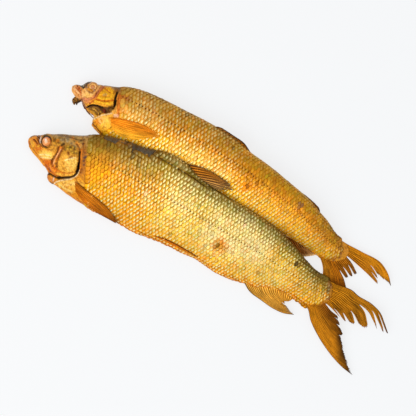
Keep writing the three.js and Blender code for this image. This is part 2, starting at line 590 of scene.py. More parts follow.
@dataclass(frozen=True)
class Shape:
    """A fish's outline and girth.

    back_edge and belly_edge are points of along and across. girth rows are along, the height of the middle,
    half the thickness, and how far the back edge is raised above the middle.
    """

    back_edge: tuple[Point, ...]
    belly_edge: tuple[Point, ...]
    girth: tuple[tuple[float, float, float, float], ...]
    fuller_back: float = 0.35
    roundness: float = 0.86

    @property
    def snout(self) -> float:
        """Where the body starts."""
        return self.back_edge[0][0]

    @property
    def root(self) -> float:
        """Where the body ends, inside the tail."""
        return self.back_edge[-1][0]

    def edges(self, along: np.ndarray) -> tuple[np.ndarray, np.ndarray]:
        """Give the back edge and the belly edge at each place along."""
        back, belly = np.array(self.back_edge), np.array(self.belly_edge)
        return (
            smooth_through(back[:, 0], back[:, 1], along),
            smooth_through(belly[:, 0], belly[:, 1], along),
        )

    def surface(self, along: np.ndarray, angle: np.ndarray) -> np.ndarray:
        """Give points of the body's surface.

        Args:
            along: Places along the fish.
            angle: Angles round it: 0 at the back edge, half pi on top, pi at the belly edge.

        Returns:
            Rows of along, across and up.
        """
        back, belly = self.edges(along)
        girth = np.array(self.girth)
        middle, half, tilt = smooth_through(girth[:, 0], girth[:, 1:], along).T
        side, up = np.cos(angle), np.sin(angle)
        up = np.sign(up) * np.abs(up) ** self.roundness
        across = (back + belly) / 2 + (back - belly) / 2 * side
        height = middle + tilt * side + half * up * (1 + self.fuller_back * side)
        return np.stack([along, across, np.maximum(height, 0.0)], axis=1)

    def normal(self, along: np.ndarray, angle: np.ndarray) -> np.ndarray:
        """Give the outward direction at points of the surface."""
        step, turn = 0.2, 0.01
        ahead = self.surface(along + step, angle) - self.surface(along - step, angle)
        round_it = self.surface(along, angle + turn) - self.surface(along, angle - turn)
        outward = np.cross(round_it, ahead)
        return outward / np.maximum(np.linalg.norm(outward, axis=1, keepdims=True), 1e-9)

    def share(self, along: np.ndarray, across: np.ndarray) -> np.ndarray:
        """Say where places lie from the belly edge, -1, to the back edge, 1."""
        back, belly = self.edges(along)
        return np.clip((across - (back + belly) / 2) / np.maximum((back - belly) / 2, 0.5), -1.0, 1.0)

    def height(self, along: np.ndarray, across: np.ndarray) -> np.ndarray:
        """Give the height of the upper flank over places."""
        angle = np.arccos(np.clip(self.share(along, across), -0.97, 0.97))
        return self.surface(along, angle)[:, 2]


# ---------------------------------------------------------------------------------------------------------
# Pieces of a fish
# ---------------------------------------------------------------------------------------------------------


@dataclass(frozen=True)
class Coat:
    """How the scales lie.

    Their pitch is the same as far as even_to and then falls towards the tail, where they also lie flatter:
    from flat_from before the tail's root to flat_to before it. The changes are how much single scales vary.
    """

    tones: Tones
    starts_at: tuple[Point, ...]
    ends_at: tuple[Point, ...]
    lateral_line: tuple[Point, ...]
    # How strong the scales' painted highlight is from the belly edge, -1, to the back edge, 1.
    painted_highlight: tuple[Point, ...] = ((-1.0, 0.7), (-0.5, 0.9), (0.2, 0.9), (0.6, 0.75), (0.85, 0.5), (1.0, 0.35))
    pitch_body: float = 3.75
    pitch_tail: float = 2.9
    first_row: float = 42.0
    even_to: float = 150.0
    flat_from: float = 50.0
    flat_to: float = 8.0
    row_share: float = 1.17
    length_share: float = 0.95
    width_share: float = 0.98
    dome: float = 0.42
    rise: float = 0.13
    wobble: float = 0.022
    lean: float = -0.34
    along_change: float = 0.12
    round_change: float = 0.004
    tone_change: float = 0.13
    hue_change: float = 0.06
    painted_highlight_change: float = 0.3
    lean_change: float = 0.16
    bevel: float = 0.84
    rim: float = 0.36
    ring_push: Point = (0.2, 0.35)
    crown_push: Point = (0.42, 0.6)
    sides: int = 12
    sections: int = 4


@dataclass(frozen=True)
class Eye:
    """A cooked eye, clouded and set in its ring, with a painted highlight."""

    centre: Point
    radius: float
    rings: tuple[tuple[float, Colour], ...]
    # The painted highlight's place on the eye and its colour.
    painted_glint: Point = (0.0, 0.0)
    painted_glint_colour: Colour = (255, 235, 220)
    bulge: float = 0.55
    far_seat: Point3 | None = None
    far_colour: Colour = (70, 64, 58)


@dataclass(frozen=True)
class Tear:
    """A split between two rays, from a share of their length out to the edge, where it is widest."""

    across: float
    from_share: float
    width: float = 0.03


@dataclass(frozen=True)
class Fin:
    """A fan of rays between four edges: root, margin, leading ray and trailing ray.

    The edges are points of along, across and up. The root and the margin run from the leading ray to the
    trailing one, and lead and trail are the points of those rays between the two. The far colours are those
    at the trailing ray.
    """

    name: str
    root: tuple[Point3, ...]
    margin: tuple[Point3, ...]
    lead: tuple[Point3, ...]
    trail: tuple[Point3, ...]
    rays: int
    ray_colour: Colour = (196, 122, 18)
    web_colour: Colour = (112, 58, 4)
    far_ray_colour: Colour = (184, 108, 14)
    far_web_colour: Colour = (96, 48, 4)
    tip_colour: Colour = (70, 45, 25)
    tip_from: float = 0.8
    edge_colour: Colour = (66, 32, 6)
    ridge: float = 0.22
    thickness: float = 0.45
    ragged: float = 0.02
    tears: tuple[Tear, ...] = ()
    lies_over: float | None = None
    seed: int = 3
    lines_per_ray: int = 6
    rows: int = 64

    def place(self, across: np.ndarray, out: np.ndarray) -> np.ndarray:
        """Blend the four edges.

        Args:
            across: Shares from the leading ray, 0, to the trailing one, 1.
            out: Shares from the root, 0, to the margin, 1.

        Returns:
            Rows of along, across and up.
        """
        a, b = across[:, None], out[:, None]
        root, tip = np.array(self.root, float), np.array(self.margin, float)
        lead = (self.root[0], *self.lead, self.margin[0])
        trail = (self.root[-1], *self.trail, self.margin[-1])
        sheet = (1 - b) * smooth_line(self.root, across) + b * smooth_line(self.margin, across)
        sheet += (1 - a) * smooth_line(lead, out) + a * smooth_line(trail, out)
        sheet -= (1 - a) * (1 - b) * root[0] + a * (1 - b) * root[-1]
        sheet -= (1 - a) * b * tip[0] + a * b * tip[-1]
        return sheet

    def split(self, form: bmesh.types.BMesh) -> None:
        """Cut the flat sheet open along each tear."""
        lines = sorted({round(vertex.co.x, 5) for vertex in form.verts})
        for tear in self.tears:
            cut_at = min(lines, key=lambda x: abs((x + 1) / 2 - tear.across))
            cut = [
                edge
                for edge in form.edges
                if all(
                    abs(vertex.co.x - cut_at) < NEAR and (vertex.co.y + 1) / 2 > tear.from_share - NEAR
                    for vertex in edge.verts
                )
            ]
            bmesh.ops.split_edges(form, edges=cut)

    def open_up(self, form: bmesh.types.BMesh) -> tuple[np.ndarray, np.ndarray, np.ndarray]:
        """Draw the strands between the tears narrower towards the margin.

        Args:
            form: The flat sheet, cut open.

        Returns:
            For each vertex, its share across the fan, its share out, and how far it is from the middle of
            its strand.
        """
        flat = vertex_places(form)
        across, out = (flat[:, 0] + 1) / 2, (flat[:, 1] + 1) / 2
        beside = [[face.calc_center_median().x for face in vertex.link_faces] for vertex in form.verts]
        inner = (np.array([np.mean(middles) for middles in beside]) + 1) / 2
        cuts = sorted(self.tears, key=lambda tear: tear.across)
        places = np.array([tear.across for tear in cuts])
        strand = np.searchsorted(places, inner)
        left = np.concatenate([[0.0], places])[strand]
        right = np.concatenate([places, [1.0]])[strand]
        middle, half = (left + right) / 2, (right - left) / 2
        offset = (across - middle) / half
        outer = ((strand == 0) & (offset < 0)) | ((strand == len(cuts)) & (offset > 0))
        for number, tear in enumerate(cuts):
            gap = tear.width / 2 * np.clip((out - tear.from_share) / (1 - tear.from_share), 0, 1) ** 0.85
            gap = np.where(strand == number, -gap * np.clip(offset, 0, 1), gap)
            gap = np.where(strand == number + 1, gap * np.clip(-offset, 0, 1), gap)
            across = across + np.where((strand == number) | (strand == number + 1), gap, 0.0)
        return across, out, np.where(outer, 0.0, np.abs(offset))

    def build(self, bench: Bench, prefix: str, finish: bpy.types.Material, shape: Shape) -> bpy.types.Object:
        """Make the fin.

        Args:
            bench: Where pieces are made.
            prefix: The fish's name.
            finish: The fin's material.
            shape: The body, which a fin may lie over.

        Returns:
            The finished piece.
        """
        columns = self.rays * self.lines_per_ray
        form = bmesh.new()
        bmesh.ops.create_grid(form, x_segments=columns, y_segments=self.rows, size=1.0)
        self.split(form)
        own_line = (vertex_places(form)[:, 0] + 1) / 2
        across, out, offset = self.open_up(form)
        chance = np.random.default_rng(self.seed).uniform(-1, 1, columns + 1)
        fray = np.interp(own_line * columns, np.arange(columns + 1), chance) * self.ragged
        fray = fray * smooth_step(own_line, 0.0, 0.06)
        reach = out * (1 + fray * out**3)
        if self.tears:
            reach = reach * (1 - 0.06 * np.clip(offset, 0, 1) ** 3 * out**6)
        places = self.place(across, np.clip(reach, 0, 1.0))
        beyond = np.maximum(reach - 1.0, 0)[:, None]
        last = 0.04
        margin = self.place(across, np.ones_like(across))
        tip_step = margin - self.place(across, np.full_like(across, 1 - last))
        places += tip_step * beyond / last
        single = np.cos(2 * np.pi * self.rays * own_line)
        double = np.cos(4 * np.pi * self.rays * own_line)
        fork = smooth_step(out, 0.35, 0.8)
        stripe = single * (1 - fork) + double * fork
        if self.lies_over is not None:
            over = shape.height(places[:, 0], places[:, 1]) + self.lies_over
            places[:, 2] = np.maximum(places[:, 2], over)
        places[:, 2] += self.ridge * stripe * (1 - 0.5 * out)
        paint = self.paint(own_line, out, stripe, places)
        for vertex, place in zip(form.verts, places, strict=True):
            vertex.co = place
        shell = form.faces[:]
        layer = form.verts.layers.float_vector.new("shade")
        for vertex, shade in zip(form.verts, paint, strict=True):
            vertex[layer] = shade
        walls = bmesh.ops.extrude_face_region(form, geom=shell, use_keep_orig=True)["geom"]
        lower = [part for part in walls if isinstance(part, bmesh.types.BMVert)]
        bmesh.ops.translate(form, verts=lower, vec=(0.0, 0.0, -self.thickness))
        places = vertex_places(form)
        places[:, 2] = np.maximum(places[:, 2], THIN_LOWEST)
        paint = np.array([vertex[layer] for vertex in form.verts], float)
        return bench.piece(f"{prefix}_{self.name}", form, places, paint, finish)

    def paint(
        self, across: np.ndarray, out: np.ndarray, stripe: np.ndarray, places: np.ndarray
    ) -> np.ndarray:
        """Colour the fin: pale rays, dark web, darker tip and leading edge.

        Args:
            across: Shares from the leading ray to the trailing one.
            out: Shares from the root to the margin.
            stripe: 1 on a ray and -1 between two.
            places: Rows of along, across and up.

        Returns:
            Rows of linear colour.
        """
        far = smooth_step(across, 0.25, 0.95)[:, None]
        ray = linear(self.ray_colour) * (1 - far) + linear(self.far_ray_colour) * far
        web = linear(self.web_colour) * (1 - far) + linear(self.far_web_colour) * far
        mix = smooth_step(stripe, -0.7, 0.8)[:, None]
        paint = web * (1 - mix) + ray * mix
        patches = grain(places[:, 0], places[:, 1], 9.0, self.seed)[:, None]
        streaks = grain(across * self.rays * 1.7, out * 5.0, 1.0, self.seed + 1)[:, None]
        fine = grain(across * self.rays * 4.0, out * 16.0, 1.0, self.seed + 2)[:, None]
        paint = paint * np.clip(1 + 0.25 * patches + 0.38 * streaks + 0.22 * fine, 0.3, 1.7)
        tip = smooth_step(out + 0.06 * patches[:, 0], self.tip_from, 1.02)[:, None]
        paint = paint * (1 - tip) + linear(self.tip_colour) * tip
        edge = 0.85 * (1 - smooth_step(across, 0.0, 0.05)[:, None])
        return paint * (1 - edge) + linear(self.edge_colour) * edge


@dataclass(frozen=True)
class Strip:
    """A slim piece of dried flesh or bone, drawn along a line and rough all over."""

    name: str
    route: tuple[Point3, ...]
    radii: tuple[float, ...]
    colour: Colour
    end_colour: Colour
    flat: float = 0.6
    rough: float = 0.2
    seed: int = 11

    def build(self, bench: Bench, prefix: str, finish: bpy.types.Material) -> bpy.types.Object:
        """Make the strip.

        Args:
            bench: Where pieces are made.
            prefix: The fish's name.
            finish: The strip's material.

        Returns:
            The finished piece.
        """
        form = bmesh.new()
        bmesh.ops.create_uvsphere(form, u_segments=28, v_segments=72, radius=1.0)
        ball = vertex_places(form)
        down = np.arccos(np.clip(ball[:, 2], -1, 1)) / np.pi
        turn = np.arctan2(ball[:, 1], ball[:, 0])
        step = 0.01
        before, after = (smooth_line(self.route, np.clip(down + near, 0, 1)) for near in (-step, step))
        ahead = after - before
        side = np.cross(ahead, np.array([0.0, 0.0, 1.0]))
        side /= np.linalg.norm(side, axis=1, keepdims=True)
        over = np.cross(side, ahead)
        over /= np.linalg.norm(over, axis=1, keepdims=True)
        radius = np.interp(down, np.linspace(0, 1, len(self.radii)), self.radii)
        radius = radius * np.sqrt(np.clip(1 - (2 * down - 1) ** 6, 0, 1))
        rough = grain(down * 40.0, np.cos(turn) * 3.0, 2.2, self.seed)
        rough = rough + grain(down * 90.0, turn * 4.0, 2.0, self.seed + 1)
        radius = (radius * (1 + self.rough * rough))[:, None]
        places = smooth_line(self.route, down)
        places += radius * (np.cos(turn)[:, None] * side + self.flat * np.sin(turn)[:, None] * over)
        shade = smooth_step(grain(down * 60.0, turn * 3.0, 3.0, self.seed + 2), -0.6, 0.7)[:, None]
        shade = np.clip(shade + smooth_step(down, 0.7, 1.0)[:, None] * 0.5, 0, 1)
        paint = linear(self.colour) * (1 - shade) + linear(self.end_colour) * shade
        places[:, 2] = np.maximum(places[:, 2], THIN_LOWEST)
        return bench.piece(f"{prefix}_{self.name}", form, places, paint, finish)


@dataclass
class Fish:
    """One whole fish: skin, scales, eyes and fins, in place of its plain solid."""

    name: str
    node: str
    shape: Shape
    tones: Tones
    coat: Coat
    marks: tuple[Mark, ...]
    bare: tuple[Mark, ...]
    eye: Eye
    fins: tuple[Fin, ...]
    seed: int
    strips: tuple[Strip, ...] = ()
    # Marks that raise or lower the scales' painted highlight.
    painted_highlight_marks: tuple[Mark, ...] = ()
    rings: int = 400
    sides: int = 230
    head_end: float = 64.0
    marks_fade: Point = (1.5, 7.0)
    skin_under_scales: Colour = (120, 66, 12)
    blotch_relief: float = 0.12
    pieces: list[bpy.types.Object] = field(default_factory=list)

    def in_view(self, places: np.ndarray) -> np.ndarray:
        """Say how far places are on the upper flank, where the marks are, from 0 to 1."""
        below = self.shape.height(places[:, 0], places[:, 1]) - places[:, 2]
        return 1 - smooth_step(below, *self.marks_fade)

    def colour(self, places: np.ndarray, tones: Tones) -> np.ndarray:
        """Give the colour over places along, across and up, from tones and the marks."""
        along, across = places[:, 0], places[:, 1]
        girth = across + places[:, 2]
        share = self.shape.share(along, across)
        share = share + 0.1 * grain(along, girth, 14.0, self.seed)
        share = share + 0.06 * grain(along, girth, 5.0, self.seed + 1)
        paint = tones.at(np.clip(share, -1, 1))
        in_view = self.in_view(places)
        for mark in self.marks:
            cover = (mark.cover(places[:, :2]) * mark.strength * in_view)[:, None]
            paint = paint * (1 - cover) + linear(mark.colour) * cover
        return paint

    def blotch(self, places: np.ndarray) -> np.ndarray:
        """Give the dried skin's fine wrinkles and blotches, from -1, pale, to 1, dark."""
        along, across = places[:, 0], places[:, 1] + places[:, 2]
        fine = grain(along * 1.3 + across * 0.5, across, 1.5, self.seed + 5)
        broad = grain(along + across, across - along, 3.6, self.seed + 6)
        return np.clip(fine * 0.75 + broad * 0.55, -1.0, 1.0)

    def blotched(self, paint: np.ndarray, places: np.ndarray) -> np.ndarray:
        """Lay the blotches over the skin's colours."""
        blotch = self.blotch(places)
        dark = smooth_step(blotch, 0.05, 0.75)[:, None]
        pale = smooth_step(-blotch, 0.15, 0.8)[:, None] * 0.35
        paint = paint * (1 - dark * np.array([0.34, 0.46, 0.6]))
        return paint * (1 - pale) + np.minimum(paint * np.array([1.25, 1.45, 1.9]), 1.0) * pale

    def relief(self, places: np.ndarray) -> np.ndarray:
        """Say how far the marks raise the skin over places."""
        lift = np.zeros(len(places))
        for mark in self.marks:
            if mark.lift:
                lift += mark.cover(places[:, :2]) * mark.lift
        return lift * self.in_view(places) - self.blotch_relief * self.blotch(places)

    def scaled(self, places: np.ndarray) -> np.ndarray:
        """Say how much places are covered with scales, from 0 to 1."""
        start, end = np.array(self.coat.starts_at, float), np.array(self.coat.ends_at, float)
        first = np.interp(places[:, 1], start[:, 1], start[:, 0])
        last = np.interp(places[:, 1], end[:, 1], end[:, 0])
        ended = smooth_step(places[:, 0] - last, -2.0, 1.0)
        cover = smooth_step(places[:, 0] - first, -1.0, 1.0) * (1 - ended)
        for mark in self.bare:
            cover = cover * (1 - mark.cover(places) * mark.strength)
        return cover

    def make_skin(self, bench: Bench, finish: bpy.types.Material) -> bpy.types.Object:
        """Make the skin: a ball drawn out to the fish's shape, with the head's relief.

        Args:
            bench: Where pieces are made.
            finish: The skin's material.

        Returns:
            The finished piece, which stands for the plain solid.
        """
        form = bmesh.new()
        bmesh.ops.create_uvsphere(form, u_segments=self.sides, v_segments=self.rings, radius=1.0)
        ball = vertex_places(form)
        down = np.arccos(np.clip(ball[:, 2], -1, 1)) / np.pi
        snout, root = self.shape.snout, self.shape.root
        knots = np.array([0.0, 0.04, 0.45, 1.0])
        reach = np.array([snout, snout + 1.5, self.head_end, root])
        along = np.interp(down, knots, reach)
        from_top = (np.arctan2(ball[:, 1], ball[:, 0]) + np.pi) % (2 * np.pi) - np.pi
        angle = np.pi / 2 + from_top * (0.7 + 0.3 * np.abs(from_top) / np.pi)
        places = self.shape.surface(along, angle)
        smooth = places.copy()
        lift = self.relief(smooth)
        fade = smooth_step(down, 0.0, 0.03)
        places += self.shape.normal(along, angle) * (lift * fade)[:, None]
        places[:, 2] = np.maximum(places[:, 2], 0.05)
        paint = self.blotched(self.colour(smooth, self.tones), smooth)
        under = self.scaled(smooth[:, :2])[:, None]
        paint = paint * (1 - under) + linear(self.skin_under_scales) * under
        made = bench.piece(f"{self.name}_skin", form, places, paint, finish)
        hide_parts(self.node)
        return made

    def scale_form(self) -> tuple[list[list[int]], np.ndarray]:
        """Model one scale: a thin dished disc with a bevelled rim, whose crown lies in its bare rear half.

        Returns:
            Its faces and its places in half-lengths.
        """
        coat = self.coat
        form = bmesh.new()
        bmesh.ops.create_cone(
            form, cap_ends=True, segments=coat.sides, radius1=1.0, radius2=coat.bevel, depth=1.0
        )
        top = [face for face in form.faces if face.normal.z > 0.9]
        bmesh.ops.inset_individual(form, faces=top, thickness=coat.rim)
        crown = bmesh.ops.poke(form, faces=top)["verts"]
        for vertices, push in ((top_ring(form), coat.ring_push), (crown, coat.crown_push)):
            for vertex in vertices:
                vertex.co.x += push[0]
                vertex.co.z += push[1]
        places = vertex_places(form)
        faces = [[vertex.index for vertex in face.verts] for face in form.faces]
        form.free()
        return faces, places

    def lattice(self) -> np.ndarray:
        """Lay out the scales in staggered rows, counted out from the lateral line.

        Returns:
            A row for each scale: its place along, its angle round the body, its pitch, and how many rows it
            is from the lateral line.
        """
        coat = self.coat
        along, pitches = [self.shape.snout + coat.first_row], []
        while along[-1] < self.shape.root - 1.0:
            far = (along[-1] - coat.even_to) / (self.shape.root - coat.even_to)
            pitch = coat.pitch_body + (coat.pitch_tail - coat.pitch_body) * np.clip(far, 0, 1)
            pitches.append(pitch)
            along.append(along[-1] + pitch / 2)
        angles = np.linspace(-np.pi, np.pi, 721)
        found: list[tuple[float, float, float, float]] = []
        for column, (place, pitch) in enumerate(zip(along, pitches, strict=False)):
            ring = self.shape.surface(np.full_like(angles, place), angles)
            arc = np.concatenate([[0.0], np.cumsum(np.linalg.norm(np.diff(ring, axis=0), axis=1))])
            upper = np.nonzero(angles > 0)[0]
            line_across = np.interp(place, *np.array(coat.lateral_line, float).T)
            start = arc[upper[np.argmin(np.abs(ring[upper, 1] - line_across))]]
            gap = pitch * coat.row_share
            lowest, highest = int(np.ceil(-start / gap)), int(np.floor((arc[-1] - start) / gap))
            for row in range(lowest, highest + 1):
                if (row + column) % 2 == 0:
                    found.append((place, float(np.interp(start + row * gap, arc, angles)), pitch, row))
        return np.array(found)

    def make_scales(self, bench: Bench, finish: bpy.types.Material) -> list[bpy.types.Object]:
        """Make the scales, in a few sections from the shoulder to the tail.

        Args:
            bench: Where pieces are made.
            finish: The scales' material.

        Returns:
            The finished pieces.
        """
        coat = self.coat
        chance = np.random.default_rng(self.seed)
        along, angle, pitch, row = self.lattice().T
        along = along + chance.normal(0, coat.along_change, len(along))
        angle = angle + chance.normal(0, coat.round_change, len(angle))
        centre = self.shape.surface(along, angle)
        keep = (self.scaled(centre[:, :2]) > chance.uniform(0.25, 0.75, len(centre))) & (centre[:, 2] > 0.3)
        along, angle, pitch, row, centre = (part[keep] for part in (along, angle, pitch, row, centre))
        outward = self.shape.normal(along, angle)
        seat = centre
        centre = seat + outward * self.relief(seat)[:, None]
        tailward = self.shape.surface(along + 1.0, angle) - self.shape.surface(along, angle)
        tailward -= (tailward * outward).sum(1, keepdims=True) * outward
        tailward /= np.linalg.norm(tailward, axis=1, keepdims=True)
        sideways = np.cross(outward, tailward)
        near_tail = smooth_step(along, self.shape.root - coat.flat_from, self.shape.root - coat.flat_to)
        rise = coat.rise * (1 - 0.5 * near_tail)
        ahead = tailward + outward * (rise + chance.normal(0, coat.wobble, len(along)))[:, None]
        aside = sideways + outward * chance.normal(0, coat.wobble, len(along))[:, None]
        up = np.cross(ahead, aside)
        up /= np.linalg.norm(up, axis=1, keepdims=True)
        faces, unit = self.scale_form()
        length = (pitch * coat.length_share)[:, None, None]
        width = (pitch * coat.row_share * coat.width_share)[:, None, None]
        flatter = 1 - 0.65 * near_tail
        places = (
            centre[:, None]
            + ahead[:, None] * unit[None, :, 0:1] * length
            + aside[:, None] * unit[None, :, 1:2] * width
            + up[:, None] * (unit[None, :, 2:3] + 0.1) * coat.dome * flatter[:, None, None]
        )
        places[:, :, 2] = np.maximum(places[:, :, 2], 0.02)
        tone = 1 + chance.normal(0, coat.tone_change, (len(along), 1))
        tone = np.clip(tone + chance.normal(0, coat.hue_change, (len(along), 3)), 0.6, 1.4)
        paint = np.repeat((self.colour(seat, coat.tones) * tone)[:, None], len(unit), axis=1)
        # Each scale's painted highlight: strongest across the middle of the flank, raised or lowered by the
        # highlight marks, and varied from scale to scale.
        painted_shine = np.clip(chance.normal(1.0, coat.painted_highlight_change, len(along)), 0.3, 1.5)
        painted_highlight = self.painted_highlight(centre[:, :2]) * painted_shine
        painted_highlight = painted_highlight * (1 + coat.painted_highlight_change * grain(centre[:, 0], centre[:, 1], 9.0, self.seed + 9))
        painted_highlight = np.clip(painted_highlight, 0.02, 1.0) * np.where(row == 0, -1.0, 1.0)
        spots = np.tile(unit, (len(along), 1, 1))
        flank = self.shape.share(centre[:, 0], centre[:, 1])
        lean = np.interp(flank, (-0.7, 0.3), (coat.lean, 0.0))[:, None]
        lean = lean + chance.normal(0, coat.lean_change, lean.shape)
        spots[:, :, 0] += chance.normal(0, 0.07, lean.shape) + unit[:, 1] * lean
        spots[:, :, 1] += chance.normal(0, 0.08, (len(along), 1))
        # The third value on each scale is its painted highlight's strength, negative on the lateral line,
        # where a pore is painted.
        spots[:, :, 2] = painted_highlight[:, None]
        made = []
        bounds = np.quantile(along, np.linspace(0, 1, coat.sections + 1))
        section = np.clip(np.searchsorted(bounds, along, side="right") - 1, 0, coat.sections - 1)
        for number in range(coat.sections):
            here = section == number
            form = repeated(unit, faces, int(here.sum()))
            name = f"{self.name}_scales_{number + 1}"
            rows = (part[here].reshape(-1, 3) for part in (places, paint, spots))
            at, shades, scale_places = rows
            made.append(bench.piece(name, form, at, shades, finish, scale_places))
        LOG.info("%s: %d scales", self.name, len(along))
        return made

    def painted_highlight(self, places: np.ndarray) -> np.ndarray:
        """Say how strong the scales' painted highlight is over places."""
        stops = np.array(self.coat.painted_highlight, float)
        share = np.interp(self.shape.share(places[:, 0], places[:, 1]), stops[:, 0], stops[:, 1])
        for mark in self.painted_highlight_marks:
            share = share + mark.cover(places) * mark.strength
        return share

    def make_eye(self, bench: Bench, finish: bpy.types.Material, upper: bool) -> bpy.types.Object:
        """Make one eye.

        Args:
            bench: Where pieces are made.
            finish: The eye's material.
            upper: True for the eye on the upper flank.

        Returns:
            The finished piece.
        """
        eye = self.eye
        form = bmesh.new()
        bmesh.ops.create_uvsphere(form, u_segments=48, v_segments=32, radius=1.0)
        ball = vertex_places(form)
        centre = np.array([eye.centre])
        angle = np.arccos(self.shape.share(centre[:, 0], centre[:, 1]))
        if not upper:
            angle = -angle
        seat = self.shape.surface(centre[:, 0], angle)[0]
        facing = self.shape.normal(centre[:, 0], angle)[0]
        if upper:
            facing = np.array([-0.12, -0.05, 1.0])
        elif eye.far_seat:
            seat, facing = np.array(eye.far_seat), np.array([-0.2, 1.0, 0.5])
        facing = facing / np.linalg.norm(facing)
        ahead = np.cross(np.array([0.0, 1.0, 0.0]), facing)
        ahead /= np.linalg.norm(ahead)
        aside = np.cross(facing, ahead)
        radius = eye.radius
        places = seat - facing * radius * 0.35 + radius * (
            ball[:, 0:1] * ahead + ball[:, 1:2] * aside + ball[:, 2:3] * facing * eye.bulge * 1.6
        )
        rim = np.hypot(ball[:, 0], ball[:, 1])
        stops = np.array([stop for stop, _ in eye.rings])
        colours = np.array([linear(colour) for _, colour in eye.rings])
        paint = np.stack([np.interp(rim, stops, colours[:, i]) for i in range(3)], axis=1)
        if not upper:
            paint = np.tile(linear(eye.far_colour), (len(ball), 1))
        cloud = grain(ball[:, 0] * radius, ball[:, 1] * radius, 1.1, self.seed + 8)[:, None]
        paint = paint * (1 + 0.3 * cloud)
        # The glint is a painted highlight on the eye.
        off = np.hypot(ball[:, 0] - eye.painted_glint[0], ball[:, 1] - eye.painted_glint[1])
        painted_shine = (1 - smooth_step(off, 0.05, 0.38))[:, None]
        paint = paint * (1 - painted_shine) + linear(eye.painted_glint_colour) * painted_shine
        places[:, 2] = np.maximum(places[:, 2], 0.3)
        side = "left" if upper else "right"
        return bench.piece(f"{self.name}_{side}_eye", form, places, paint, finish)

    def make(self, bench: Bench, finishes: dict[str, bpy.types.Material]) -> None:
        """Make every piece of the fish."""
        self.pieces.append(self.make_skin(bench, finishes["skin"]))
        self.pieces.extend(self.make_scales(bench, finishes["scale"]))
        self.pieces.append(self.make_eye(bench, finishes["eye"], upper=True))
        self.pieces.append(self.make_eye(bench, finishes["eye"], upper=False))
        for fin in self.fins:
            self.pieces.append(fin.build(bench, self.name, finishes["fin"], self.shape))
        for strip in self.strips:
            self.pieces.append(strip.build(bench, self.name, finishes["flesh"]))
        LOG.info("%s: %d pieces", self.name, len(self.pieces))


def top_ring(form: bmesh.types.BMesh) -> list[bmesh.types.BMVert]:
    """Find the inner ring of a scale's upper side."""
    return [vertex for vertex in form.verts if vertex.co.z > 0.4 and 0.1 < vertex.co.xy.length < 0.7]


def repeated(unit: np.ndarray, faces: list[list[int]], count: int) -> bmesh.types.BMesh:
    """Repeat a modelled form many times in one mesh.

    Args:
        unit: The form's vertex places.
        faces: The form's faces, as vertex numbers.
        count: How many copies.

    Returns:
        A mesh of the copies, all in one place until their vertices are moved.
    """
    mesh = bpy.data.meshes.new("repeated")
    every = [[corner + copy * len(unit) for corner in face] for copy in range(count) for face in faces]
    mesh.from_pydata(np.tile(unit, (count, 1)).tolist(), [], every)
    form = bmesh.new()
    form.from_mesh(mesh)
    bpy.data.meshes.remove(mesh)
    return form


# ---------------------------------------------------------------------------------------------------------
# The larger fish
# ---------------------------------------------------------------------------------------------------------


